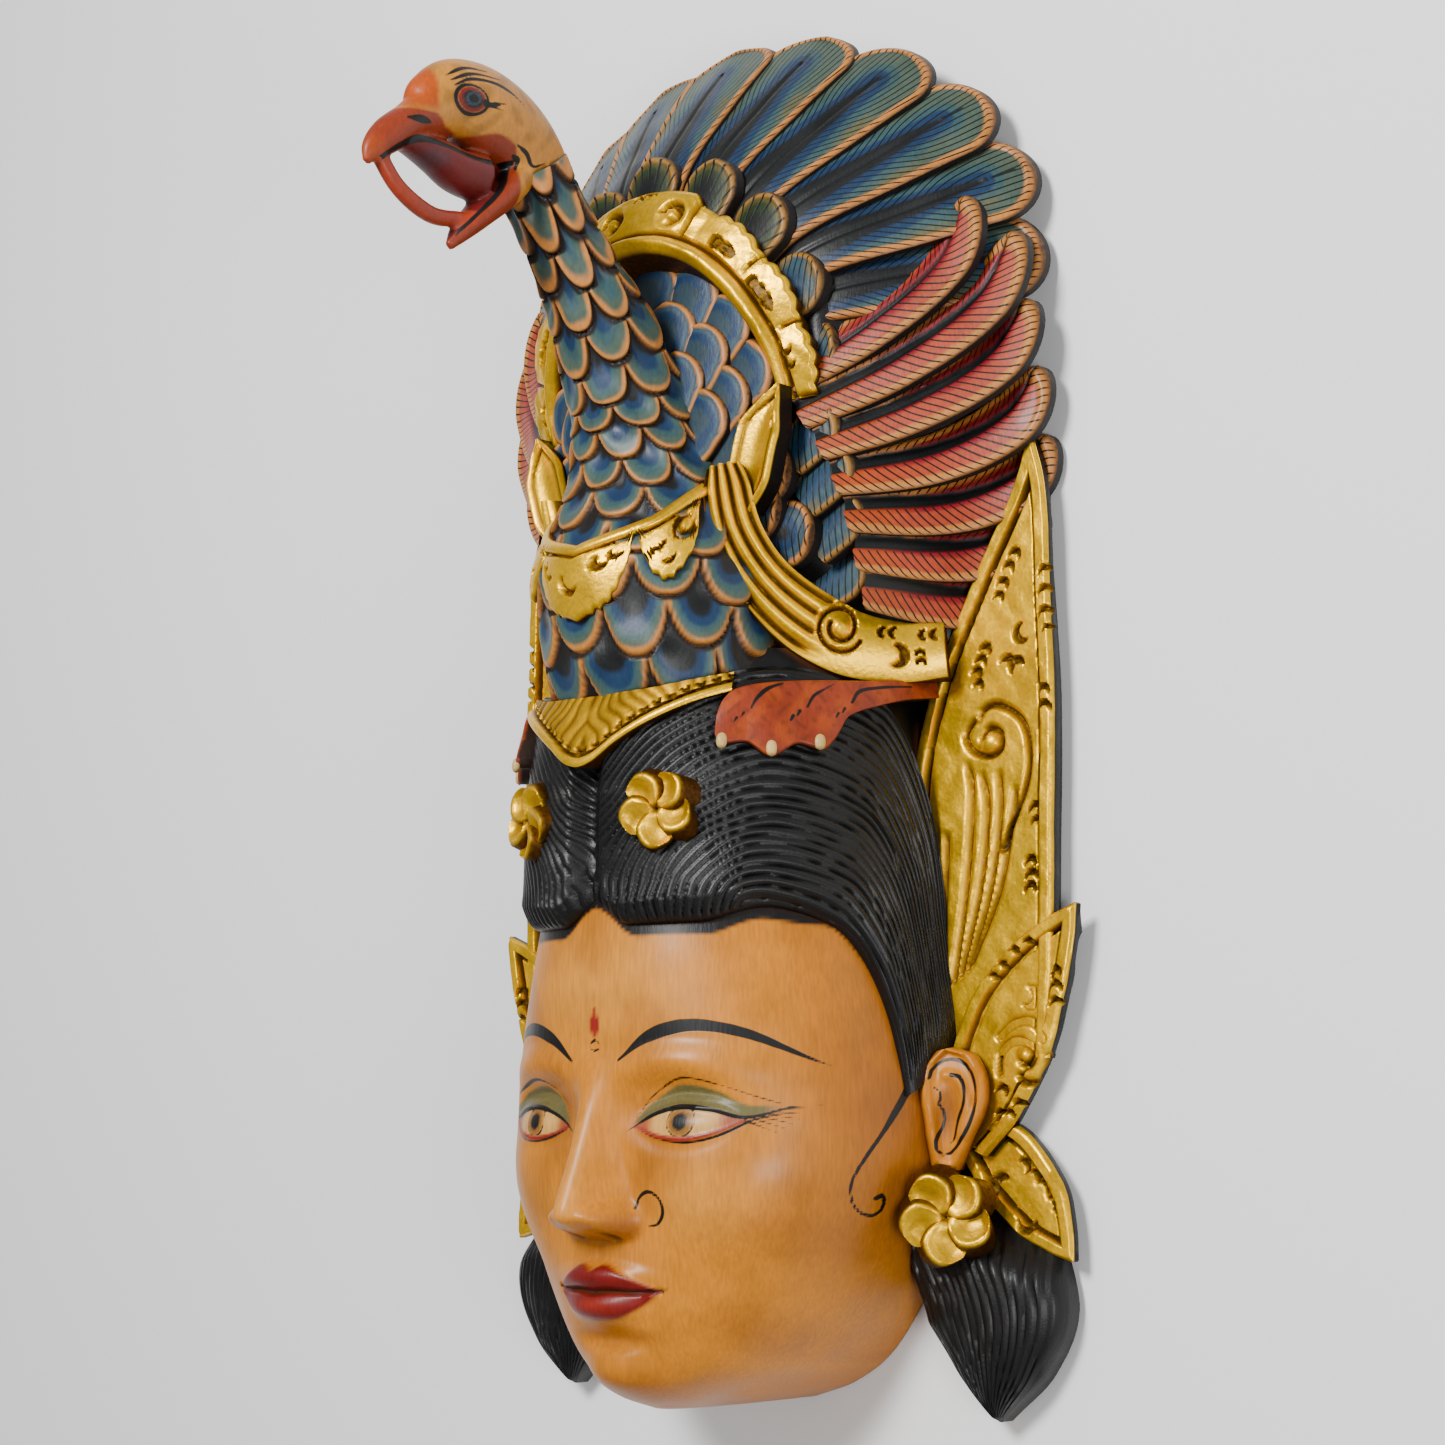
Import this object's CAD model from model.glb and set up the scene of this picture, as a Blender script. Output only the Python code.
"""Carved, painted and gilt wooden wall mask, lying face up on a pale floor."""
import math

import bpy
import numpy as np
from mathutils import Matrix


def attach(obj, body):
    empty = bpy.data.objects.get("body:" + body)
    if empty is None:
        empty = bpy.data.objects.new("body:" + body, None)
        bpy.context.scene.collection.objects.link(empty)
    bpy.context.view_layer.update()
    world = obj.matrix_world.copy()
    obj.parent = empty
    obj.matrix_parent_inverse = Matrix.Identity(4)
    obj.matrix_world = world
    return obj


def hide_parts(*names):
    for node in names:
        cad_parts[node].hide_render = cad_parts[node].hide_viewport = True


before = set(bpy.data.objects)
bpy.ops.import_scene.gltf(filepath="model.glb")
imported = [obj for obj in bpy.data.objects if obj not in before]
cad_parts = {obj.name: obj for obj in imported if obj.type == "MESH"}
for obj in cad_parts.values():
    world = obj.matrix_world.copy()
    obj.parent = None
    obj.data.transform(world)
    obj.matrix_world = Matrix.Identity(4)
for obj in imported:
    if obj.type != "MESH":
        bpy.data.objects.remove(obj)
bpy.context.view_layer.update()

# The carving is drawn in millimetres: x across, y up from the tips of the side locks, z out of the flat back
MM = 0.001
HALF_HEIGHT = 250.0
STEP = 0.92
ARCH_Y = 356.0
FAN_Y = 370.0
UP = np.array([0.0, 0.0, 1.0])


def hue(text):
    """Paint colour from its sRGB hex value, in linear light."""
    part = np.array([int(text[k:k + 2], 16) for k in (1, 3, 5)]) / 255
    return np.where(part <= 0.04045, part / 12.92, ((part + 0.055) / 1.055) ** 2.4)


PEACH, SAGE, TEAL, BLUE, COAL = hue("#B0702F"), hue("#3E4E42"), hue("#27474E"), hue("#0F2B49"), hue("#0D0F10")
OLIVE, MOSS, SLATE = hue("#6C5616"), hue("#1A2A10"), hue("#2D4450")
RED, SALMON, BRICK, ORANGE = hue("#7C121A"), hue("#9C3A20"), hue("#7C2A0E"), hue("#A04000")
GOLD, GOLD_DARK, OCHRE = hue("#F2BC00"), hue("#281602"), hue("#9A5C04")
SKIN, SKIN_SHADE, SKIN_LIGHT = hue("#BC720A"), hue("#7C3E02"), hue("#C88834")
BONE, BLACK, HAIR, BROWN = hue("#C0A060"), hue("#050505"), hue("#0A0A0A"), hue("#2C1706")
LIPS, EYE_RED, EYE_WHITE, IRIS, SHADOW = hue("#6E0C06"), hue("#861A10"), hue("#C4924A"), hue("#84561A"), hue("#4A5230")
SHAKE, LINE_EDGE = 0.10, 0.11


def smooth(rows, place):
    """Value at a place on a curve without overshoot through rows of (place, value, ...)."""
    table = np.asarray(rows, float)
    x, y = table[:, 0], table[:, 1:]
    slope = np.diff(y, axis=0) / np.diff(x)[:, None]
    before, after = np.vstack([slope[:1], slope]), np.vstack([slope, slope[-1:]])
    same = before * after > 0
    lean = np.where(same, 2 * before * after / np.where(same, before + after, 1), 0)
    p = np.clip(np.asarray(place, float), x[0], x[-1])
    k = np.clip(np.searchsorted(x, p, side="right") - 1, 0, len(x) - 2)
    h = (x[k + 1] - x[k])[..., None]
    u = (p - x[k])[..., None] / h
    value = (1 + 2 * u) * (1 - u) ** 2 * y[k] + u * (1 - u) ** 2 * h * lean[k]
    value = value + u * u * (3 - 2 * u) * y[k + 1] - u * u * (1 - u) * h * lean[k + 1]
    return value[..., 0] if value.shape[-1] == 1 else value


def along(points, t):
    """Places at t from 0 to 1 on a smooth curve through points, by length of chord."""
    p = np.asarray(points, float)
    x = np.concatenate([[0], np.cumsum(np.linalg.norm(np.diff(p, axis=0), axis=1))])
    x = x / x[-1]
    lean = np.empty_like(p)
    lean[0] = (p[1] - p[0]) / (x[1] - x[0])
    lean[-1] = (p[-1] - p[-2]) / (x[-1] - x[-2])
    if len(p) > 2:
        lean[1:-1] = (p[2:] - p[:-2]) / (x[2:] - x[:-2])[:, None]
    t = np.asarray(t, float)
    k = np.clip(np.searchsorted(x, t, side="right") - 1, 0, len(x) - 2)
    h = (x[k + 1] - x[k])[..., None]
    u = (t - x[k])[..., None] / h
    value = (1 + 2 * u) * (1 - u) ** 2 * p[k] + u * (1 - u) ** 2 * h * lean[k]
    return value + u * u * (3 - 2 * u) * p[k + 1] - u * u * (1 - u) * h * lean[k + 1]


def unit(v):
    return v / np.maximum(np.linalg.norm(v, axis=-1, keepdims=True), 1e-12)


def bump(d, reach):
    """One at the middle falling smoothly to nothing at reach."""
    return np.where(np.abs(d) < reach, (1 - (d / reach) ** 2) ** 2, 0.0)


def hill(x, y, cx, cy, rx, ry):
    return bump(np.hypot((x - cx) / rx, (y - cy) / ry), 1.0)


def ramp(x, low, high):
    """Nothing at low rising smoothly to one at high."""
    u = np.clip((np.asarray(x, float) - low) / (high - low), 0, 1)
    return u * u * (3 - 2 * u)


def waver(x, y, seed=0.0):
    """Slow unevenness of the hand, from -1 to 1."""
    a = np.sin(x * 1.7 + seed + 2.1 * np.sin(y * 0.9 + seed * 1.3))
    return 0.6 * a + 0.4 * np.sin(y * 2.3 - seed + 1.9 * np.sin(x * 1.1 + 2.0))


def over(paint, colour, cover):
    """Lay a colour over the paint where cover is one."""
    return paint + (colour - paint) * np.asarray(cover, float)[..., None]


def coat(paint, line=0.0, ink=0.0, wax=0.0):
    """Colour, place along a row of brush lines, their strength, and dark wax left in the carving."""
    paint = np.asarray(paint, float)
    line = np.asarray(line, float) - SHAKE / 2
    shape = np.broadcast_shapes(paint.shape[:-1], line.shape, np.shape(ink), np.shape(wax))
    rest = [np.broadcast_to(v, shape)[..., None] for v in (line, ink, wax)]
    return np.concatenate([np.broadcast_to(paint, shape + (3,)), *rest], -1).astype(float)


def nearest(x, y, points, count=28):
    """Distance to a smooth curve, and the share of the way along it."""
    p = along(points, np.linspace(0, 1, count + 1))
    far, where = np.full(np.shape(x), 1e9), np.zeros(np.shape(x))
    for k in range(count):
        step = p[k + 1] - p[k]
        u = np.clip(((x - p[k, 0]) * step[0] + (y - p[k, 1]) * step[1]) / (step @ step), 0, 1)
        d = np.hypot(x - p[k, 0] - u * step[0], y - p[k, 1] - u * step[1])
        where = np.where(d < far, (k + u) / count, where)
        far = np.minimum(far, d)
    return far, where


def brush(x, y, points, widths):
    """How much a tapering stroke of the brush along a curve covers each place."""
    far, where = nearest(x, y, points)
    return ramp(far - smooth(widths, where) / 2, 0.4, -0.4)


def inked(x, y, strokes):
    """Place along a row of lines that puts ink exactly where tapering strokes of the brush run."""
    far = 9 + 0 * x
    for points, widths in strokes:
        reach, where = nearest(x, y, points)
        far = np.minimum(far, reach - smooth(widths, where) / 2)
    return np.clip(LINE_EDGE + 0.1 * far, 0.0, 0.45)


def gouge(x, y, marks, size=2.6):
    """Moon-shaped cuts of a gouge: rows of (x, y, way it is open in degrees, size)."""
    deep = 0 * x
    for cx, cy, turn, big in marks:
        a, r = math.radians(turn), size * big
        outer = np.hypot(x - cx, y - cy)
        inner = np.hypot(x - cx - 0.62 * r * math.cos(a), y - cy - 0.62 * r * math.sin(a))
        deep = np.maximum(deep, ramp(outer, r * 1.08, r * 0.8) * ramp(inner, r * 0.72, r * 0.95))
    return deep


def grooves(x, y, curves, width=1.5):
    """Cuts of a veining tool along curves."""
    deep = 0 * x
    for points in curves:
        far, where = nearest(x, y, points)
        deep = np.maximum(deep, bump(far, width) * ramp(where, 0, 0.08) ** 0.5)
    return deep


bodies = []


def both(build):
    """Run a builder of the right-hand side, and keep its mirror image too."""
    start = len(bodies)
    build()
    for name, verts, quads, ends, skin in bodies[start:]:
        bodies.append((name, verts * [-1, 1, 1], quads[:, ::-1], [e[::-1] for e in ends], skin))


def body(name, verts, quads, ends, skin):
    """Keep a closed body, its outside outwards and nothing of it below the flat back."""
    verts = verts.reshape(-1, 3) * 1.0
    verts[:, 2] = np.maximum(verts[:, 2], 0)
    a, b, c, d = (verts[quads[:, k]] for k in range(4))
    if np.sum(np.cross(b - a, c - a) * (a + b + c)) + np.sum(np.cross(c - a, d - a) * (a + c + d)) < 0:
        quads, ends = quads[:, ::-1], [e[::-1] for e in ends]
    bodies.append((name, verts, quads, ends, skin))


def quads_of(grid):
    return np.stack([grid[:-1, :-1], grid[:-1, 1:], grid[1:, 1:], grid[1:, :-1]], -1).reshape(-1, 4)


def closed(name, front, back, skin, under):
    """Closed body between a finely carved front and a plainer back with as many rows."""
    rows, cols = front.shape[:2]
    f = np.arange(rows * cols).reshape(rows, cols)
    b = rows * cols + np.arange(rows * back.shape[1]).reshape(rows, -1)
    sides = [np.stack([f[:-1, 0], f[1:, 0], b[1:, 0], b[:-1, 0]], -1),
             np.stack([f[:-1, -1], b[:-1, -1], b[1:, -1], f[1:, -1]], -1)]
    ends = [list(f[0, ::-1]) + list(b[0]), list(f[-1]) + list(b[-1, ::-1])]
    low = np.broadcast_to(under, back.shape[:2] + (6,))
    body(name, np.concatenate([front.reshape(-1, 3), back.reshape(-1, 3)]),
         np.concatenate([quads_of(f), quads_of(b)[:, ::-1], *sides]), ends,
         np.concatenate([skin.reshape(-1, 6), low.reshape(-1, 6)]))


def turned(name, rings, skin):
    """Closed body through rings of points."""
    rows, cols = rings.shape[:2]
    cell = np.arange(rows * cols).reshape(rows, cols)
    wrap = np.concatenate([cell, cell[:, :1]], 1)
    body(name, rings, quads_of(wrap), [list(cell[0][::-1]), list(cell[-1])], skin.reshape(-1, 6))


def strip(name, points, half, carve, under, out=UP, wall=None, edge=None, rows=1.5, even=False):
    """Carved strip along a path. carve(s, t, x, y, w) gives its height and its coat from the share across and
    along, the millimetres across and along, and the half width. The back lies under below the path. Rows lie
    rows steps apart, closer to the far end unless they are even."""
    length = float(np.sum(np.linalg.norm(np.diff(along(points, np.linspace(0, 1, 40)), axis=0), axis=1)))
    count = max(6, int(length / STEP / rows))
    t = np.linspace(0, 1, count + 1) if even else np.sin(np.linspace(0, math.pi / 2, count + 1))
    t[-1] = 0.9995
    width = half(t) if callable(half) else smooth(half, t)
    if width.ndim == 1:
        width = np.stack([width, width], -1)
    width = np.maximum(width, 0.25)
    columns = max(6, int(width.sum(1).max() / STEP / (0.75 if even else 1.0)))
    s = np.linspace(-1, 1, columns + 1)
    place = along(points, t)
    ahead = unit(along(points, np.minimum(t + 0.01, 1)) - along(points, np.maximum(t - 0.01, 0)))
    if np.ndim(out) == 2:
        facing = unit(smooth(np.column_stack([np.linspace(0, 1, len(out)), out]), t))
    else:
        facing = np.broadcast_to(unit(np.asarray(out, float)), place.shape)
    side = unit(np.cross(ahead, facing))
    across, down = np.meshgrid(s, t)
    reach = np.where(across < 0, width[:, :1], width[:, 1:]) * across
    height, skin = carve(across, down, reach, down * length, np.where(across < 0, width[:, :1], width[:, 1:]))
    pinch = np.clip(width.sum(1, keepdims=True) / 4.0 - 0.05, 0, 1)
    height = height[:, :1] + (height - height[:, :1]) * pinch + 0 * across
    rim = -under if edge is None else edge
    height, skin = bordered(height, skin + 0 * across[..., None], rim, wall)
    reach = np.pad(reach, 1, mode="edge")
    place, side, facing = (np.pad(v, ((1, 1), (0, 0)), mode="edge") for v in (place, side, facing))
    flat = place[:, None] + side[:, None] * reach[..., None]
    tuck = np.clip(1 - (9.0 if edge is None else 12.5) / (reach[:, -1] - reach[:, 0]), 0.2, 0.85)
    low = np.stack([reach[:, 0], reach[:, 0] * tuck, reach[:, -1] * tuck, reach[:, -1]], -1)
    down = np.array([rim, -under, -under, rim]) * np.ones((len(low), 1))
    level = rim + (down - rim) * np.pad(pinch, ((1, 1), (0, 0)), mode="edge")
    back = place[:, None] + side[:, None] * low[..., None] + facing[:, None] * level[..., None]
    if edge is not None:
        ahead, drawn = np.pad(ahead, ((1, 1), (0, 0)), mode="edge"), 8 * ramp(np.pad(t, 1, mode="edge"), 0.7, 1.0)
        back[:, 1:3] -= (ahead * drawn[:, None])[:, None]
    closed(name, flat + facing[:, None] * height[..., None], back, skin, skin[0, 0])


def bordered(height, skin, rim, wall):
    """Heights and coats with one more row and column all round, just over the edge and coated as the side walls."""
    height = np.pad(height, 1, mode="edge")
    border = np.ones(height.shape, bool)
    border[1:-1, 1:-1] = False
    height[border] -= 0.14 * (height[border] - rim)
    skin = np.pad(skin, ((1, 1), (1, 1), (0, 0)), mode="edge")
    skin[border] = coat(COAL, wax=0.6) if wall is None else wall
    return height, skin


def patch(name, surface, turns, low, high, carve, under, wall):
    """Carved patch on a round surface, from a lower to an upper edge. surface(turn, y, lift) gives places on it,
    carve(turn, y, share) the lift above it and the coat."""
    ends = surface(np.array(turns), np.array([(smooth(low, k) + smooth(high, k)) / 2 for k in turns]), 0.0)
    turn = np.linspace(*turns, int(np.linalg.norm(ends[1] - ends[0]) / STEP * 1.6))[:, None]
    bottom, top = smooth(low, turn), smooth(high, turn)
    share = np.linspace(0, 1, int((top - bottom).max() / STEP * 1.4) + 4)[None]
    y = bottom + (top - bottom) * share
    turn, share = turn + 0 * y, share + 0 * y
    lift, skin = carve(turn, y, share)
    lift, skin = bordered(lift + 0 * y, skin + 0 * y[..., None], -under, wall)
    turn, y = np.pad(turn, 1, mode="edge"), np.pad(y, 1, mode="edge")
    low_y = y[:, :1] + (y[:, -1:] - y[:, :1]) * np.linspace(0, 1, 4)
    closed(name, surface(turn, y, lift), surface(turn[:, :4], low_y, -under), skin, skin[0, 0])


def feather_edge(t, half, root, round_from):
    """Half width of a feather with a round end."""
    grow = root + (1 - root) * np.clip(t / round_from, 0, 1) ** 0.8
    end = np.sqrt(np.clip(1 - ((t - round_from) / (1 - round_from)) ** 2, 0, 1))
    return half * np.where(t < round_from, grow, end)


def within(x, y, w, half, length, round_from):
    """Millimetres in from the outline of a feather with a round end."""
    ahead = np.maximum(y / length - round_from, 0) / (1 - round_from)
    return np.where(ahead > 0, (1 - np.hypot(x / half, ahead)) * half, w - np.abs(x))


def blue_feather(angle, order):
    a = math.radians(angle)
    tip = np.array([126 * math.sin(a), 410 + 92 * math.cos(a), 24 - 0.000939 * (122 * math.sin(a)) ** 2])
    start = np.array([0, FAN_Y, 0]) + (tip - [0, FAN_Y, 0]) * [0.5, 0.5, 0] + [0, 0, 71 - 0.08 * abs(angle)]
    root = np.array([0, FAN_Y, 0]) + (tip - [0, FAN_Y, 0]) * [0.26, 0.26, 0] + [0, 0, 72 - 0.08 * abs(angle)]
    drop = 1.3 * order * UP
    half = 21.5 - 4.5 * math.sin(abs(a)) ** 2
    path = [root - drop, start - drop, start * 0.5 + tip * 0.5 + [0, 0, 3] - drop, tip - drop * 0.4]
    length = float(np.sum(np.linalg.norm(np.diff(along(path, np.linspace(0, 1, 40)), axis=0), axis=1)))

    def carve(s, t, x, y, w):
        d = within(x, y, w, half, length, 0.85)
        hand = waver(x * 0.12, y * 0.09, angle)
        left = np.maximum(0.87 - t, 0)
        tongue = np.hypot(x, np.maximum(y - 0.85 * length, 0)) - half * (0.24 + 0.50 * left) - 0.7 * hand
        core = np.abs(x) - half * 0.42 * left ** 0.8 + 0.4 * hand
        paint = over(SAGE, OLIVE, 0.35 * ramp(hand, 0.1, 0.9))
        paint = over(paint, TEAL, 0.8 * ramp(tongue + hand, 4.0, 3.0))
        paint = over(paint, BLUE, ramp(tongue, 0.5, -0.5))
        paint = over(paint, COAL, ramp(core - 1.0, 0.6, -0.6) * (t < 0.87))
        paint = over(paint, PEACH, ramp(d + 0.5 * hand, 3.3, 2.5))
        height = 2.2 - 2.2 * s * s + 1.0 * bump(d - 1.5, 1.7) - 0.7 * bump(x, 1.4) * (t < 0.85)
        ink = ramp(core, -0.8, 0.8) * ramp(d, 0.2, 0.8)
        ahead = np.minimum(y, 0.7 * length) + 11 * (1 - np.exp(-np.maximum(y - 0.7 * length, 0) / 11))
        return height, coat(paint, (ahead - 1.75 * np.abs(x) + 0.5 * hand) / 4.4, ink, 0.9 * ramp(d, 1.0, 0))

    strip("blue_feathers", path, lambda t: feather_edge(t, half, 0.35, 0.85), carve, 3.2)


RED_ROOTS = [(60, 362, 60), (73, 338, 56), (80, 312, 50), (80, 282, 42)]
RED_TIPS = [(107, 420, 26), (119, 414, 19), (124, 385, 15), (126, 354, 10), (124, 330, 4), (118, 309, 2),
            (110, 290, 1)]


def red_feather(k):
    f = k / (len(RED_TIPS) - 1)
    root, tip = along(RED_ROOTS, f), along(RED_TIPS, f)
    span = tip - root
    root = root - 0.12 * span
    sag = smooth([(0, 0), (2, 2), (3, 9), (4, 14), (6, 17)], k)
    side = unit(np.array([span[1], -span[0], 0])) * np.linalg.norm(span[:2])
    path = [root, root + span * 0.42 + side * 0.12 - (2 + sag) * UP, root + span * 0.82 + side * 0.13 - (4 + 0.55 * sag) * UP,
            tip]
    length = float(np.sum(np.linalg.norm(np.diff(along(path, np.linspace(0, 1, 40)), axis=0), axis=1)))

    def carve(s, t, x, y, w):
        d = within(x, y, w, 11.5, length, 0.74)
        hand = waver(x * 0.2, y * 0.1, k)
        shaft = s + (0.08 if k == 0 else 0.46 - 0.34 * t)
        band = (0.15 if k == 0 else 0.34) * (1 - t) ** 0.85 + 0.03
        off = (np.abs(shaft) - band) / (1 - band)
        paint = over(RED, SALMON, ramp(off + 0.08 * hand, 0.16, 0.34))
        paint = over(paint, ORANGE, ramp(t + 0.08 * hand, 0.34, 0.14) * 0.7)
        paint = over(paint, PEACH, ramp(d + 0.5 * hand, 3.6, 2.6))
        paint = over(paint, COAL, ramp(off, 0.03, -0.03))
        height = 2.4 - 2.4 * s * s - 1.2 * ramp(off, 0.06, -0.08) + 0.8 * bump(d - 1.5, 1.6)
        ink = ramp(off, 0.0, 0.05) * ramp(d, 0.1, 0.6)
        slant = np.where(shaft > 0, 0.75, 1.3) * w * np.abs(shaft)
        return height, coat(paint, (y - slant + 0.5 * hand) / 3.4, ink, 0.9 * ramp(d, 1.0, 0))

    strip("red_feathers", path, lambda t: feather_edge(t, 11.5, 0.6, 0.74), carve, 3.6)


def petal(name, tip, angle, length, half, height, carve):
    """Round-ended small feather lying on the block, pointing out at an angle from up."""
    way = np.array([math.sin(math.radians(angle)), math.cos(math.radians(angle)), 0])
    tip = np.asarray(tip, float)
    strip(name, [tip - way * length + [0, 0, height], tip], lambda t: feather_edge(t, half, 0.75, 0.5), carve, 4.5,
          rows=1.1)


# Angle from up, reach from the middle of the arch and height of the tips of the small feathers round it
COVERT_TIPS = [(0, 91, 73), (30, 88, 70), (54, 81, 63), (80, 73, 56)]


def cover(kind, place, angle, half=12.5, length=25.0):
    """One covert: green with fanned barbs, blue with slanted barbs, or peach-rimmed with barbs across."""

    def carve(s, t, x, y, w):
        d = within(x, y, w, half, length, 0.5)
        hand = waver(x * 0.25 + place[0], y * 0.2, angle)
        paint = over(over(SLATE, TEAL, 0.6), BLUE, ramp(d + hand, 5, 8) * 0.7)
        paint = over(paint, OLIVE, 0.65 * ramp(hand, -0.1, 0.8) * ramp(d, 6.5, 3))
        line = (y + 0.8 * x) / 3.3
        if kind == "green":
            paint = over(over(MOSS, COAL, ramp(d + hand, 5, 9)), OLIVE, 0.35 * ramp(d, 5, 3))
            line = np.arctan2(x, y + 3) * 5.5
        if kind == "peach":
            paint = over(over(SLATE, BLUE, ramp(d + 0.6 * hand, 5, 6)), COAL, ramp(d, 8, 10))
            line = (y - 0.2 * np.abs(x)) / 2.9
        rim = PEACH if kind == "peach" else over(OLIVE, PEACH, 0.4)
        paint = over(paint, rim, ramp(d + 0.4 * hand, 2.4, 1.4))
        height = 2.2 - 2.2 * s * s + 0.6 * bump(d - 1.2, 1.3)
        return height, coat(paint, line, ramp(d, 0.2, 0.8) * ramp(d, 11, 7), ramp(d, 0.8, 0))

    petal("coverts", place, angle, length, half, 3, carve)


def coverts():
    for angle in range(-80, 81, 20):
        reach, high = smooth(COVERT_TIPS, abs(angle))
        a = math.radians(angle)
        cover("green" if abs(angle) < 45 else "blue", (reach * math.sin(a), ARCH_Y + reach * math.cos(a), high), angle)

    def right_side():
        for place, angle in [((71, 344, 57), 48), ((75, 329, 54), 48), ((76, 313, 50), 48), ((73, 295, 43), 55)]:
            cover("blue", place, angle, 10.5, 24.0)
        for place, angle in [((57, 322, 64), 98), ((63, 300, 59), 100), ((53, 309, 65), 100)]:
            cover("peach", place, angle, 12.0, 22.0)

    both(right_side)


def scale_paint(d, hand):
    """Rings of a scale from its lower edge inwards: peach, grey-green, blue, and dark at the root."""
    paint = over(PEACH, SAGE, ramp(d + 0.35 * hand, 1.1, 2.1))
    paint = over(paint, TEAL, ramp(d + 0.5 * hand, 2.6, 3.6) * 0.8)
    paint = over(paint, BLUE, ramp(d + 0.6 * hand, 4.0, 5.0))
    return over(paint, COAL, ramp(d + hand, 6.4, 7.6))


# Tips of the scales inside the arch and the way they point, outer row first
BACK_SCALES = [(21, 402, 14), (38, 388, 28), (50, 368, 44), (54, 347, 60), (11, 390, 6), (28, 379, 18), (40, 361, 34),
               (45, 341, 50), (18, 370, 12), (31, 354, 26)]


def back_scales():
    def carve(s, t, x, y, w):
        d = within(x, y, w, 14.0, 24.0, 0.45)
        hand = waver(x * 0.3, y * 0.3)
        paint = over(PEACH, SLATE, ramp(d + 0.4 * hand, 1.3, 2.3))
        paint = over(paint, BLUE, ramp(d + 0.6 * hand, 3.6, 4.6))
        paint = over(paint, over(SLATE, COAL, 0.4), ramp(d + 0.6 * hand, 6.4, 7.6))
        return 2.6 - 2.6 * s * s + 0.5 * bump(d - 1.2, 1.3), coat(paint, wax=ramp(d, 0.9, 0))

    def right_side():
        for k, (x, y, angle) in enumerate(BACK_SCALES):
            petal("back_scales", (x, y, 69 + 0.08 * (y - 350) + 3.8 * (k > 3) + 3.8 * (k > 7)), angle, 24, 14.0, 1.5, carve)

    petal("back_scales", (0, 408, 74), 0, 24, 14.0, 1.5, carve)
    both(right_side)


def gilt(wax, paint=GOLD):
    """Gold leaf over ochre, with dark wax wherever the carving is cut."""
    wax = np.clip(wax, 0, 1)
    return coat(over(paint, OCHRE, ramp(wax, 0.15, 0.6) * 0.6), wax=wax)


GILT_WALL = coat(OCHRE, wax=0.9)


def drops(x, y, marks, size=3.0):
    """Drop-shaped holes of a punch: rows of (x, y, way to the pointed end in degrees, size)."""
    deep = 0 * x
    for cx, cy, turn, big in marks:
        a, r = math.radians(turn), size * big
        ahead = (x - cx) * math.cos(a) + (y - cy) * math.sin(a)
        aside = (y - cy) * math.cos(a) - (x - cx) * math.sin(a)
        wide = 0.62 * r * np.sqrt(np.clip(1 - (ahead / r) ** 2, 0, 1)) * np.clip(1 - 0.45 * ahead / r, 0, 2)
        deep = np.maximum(deep, ramp(np.abs(aside) - wide, 0.25, -0.25) * (np.abs(ahead) < r))
    return deep


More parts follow.
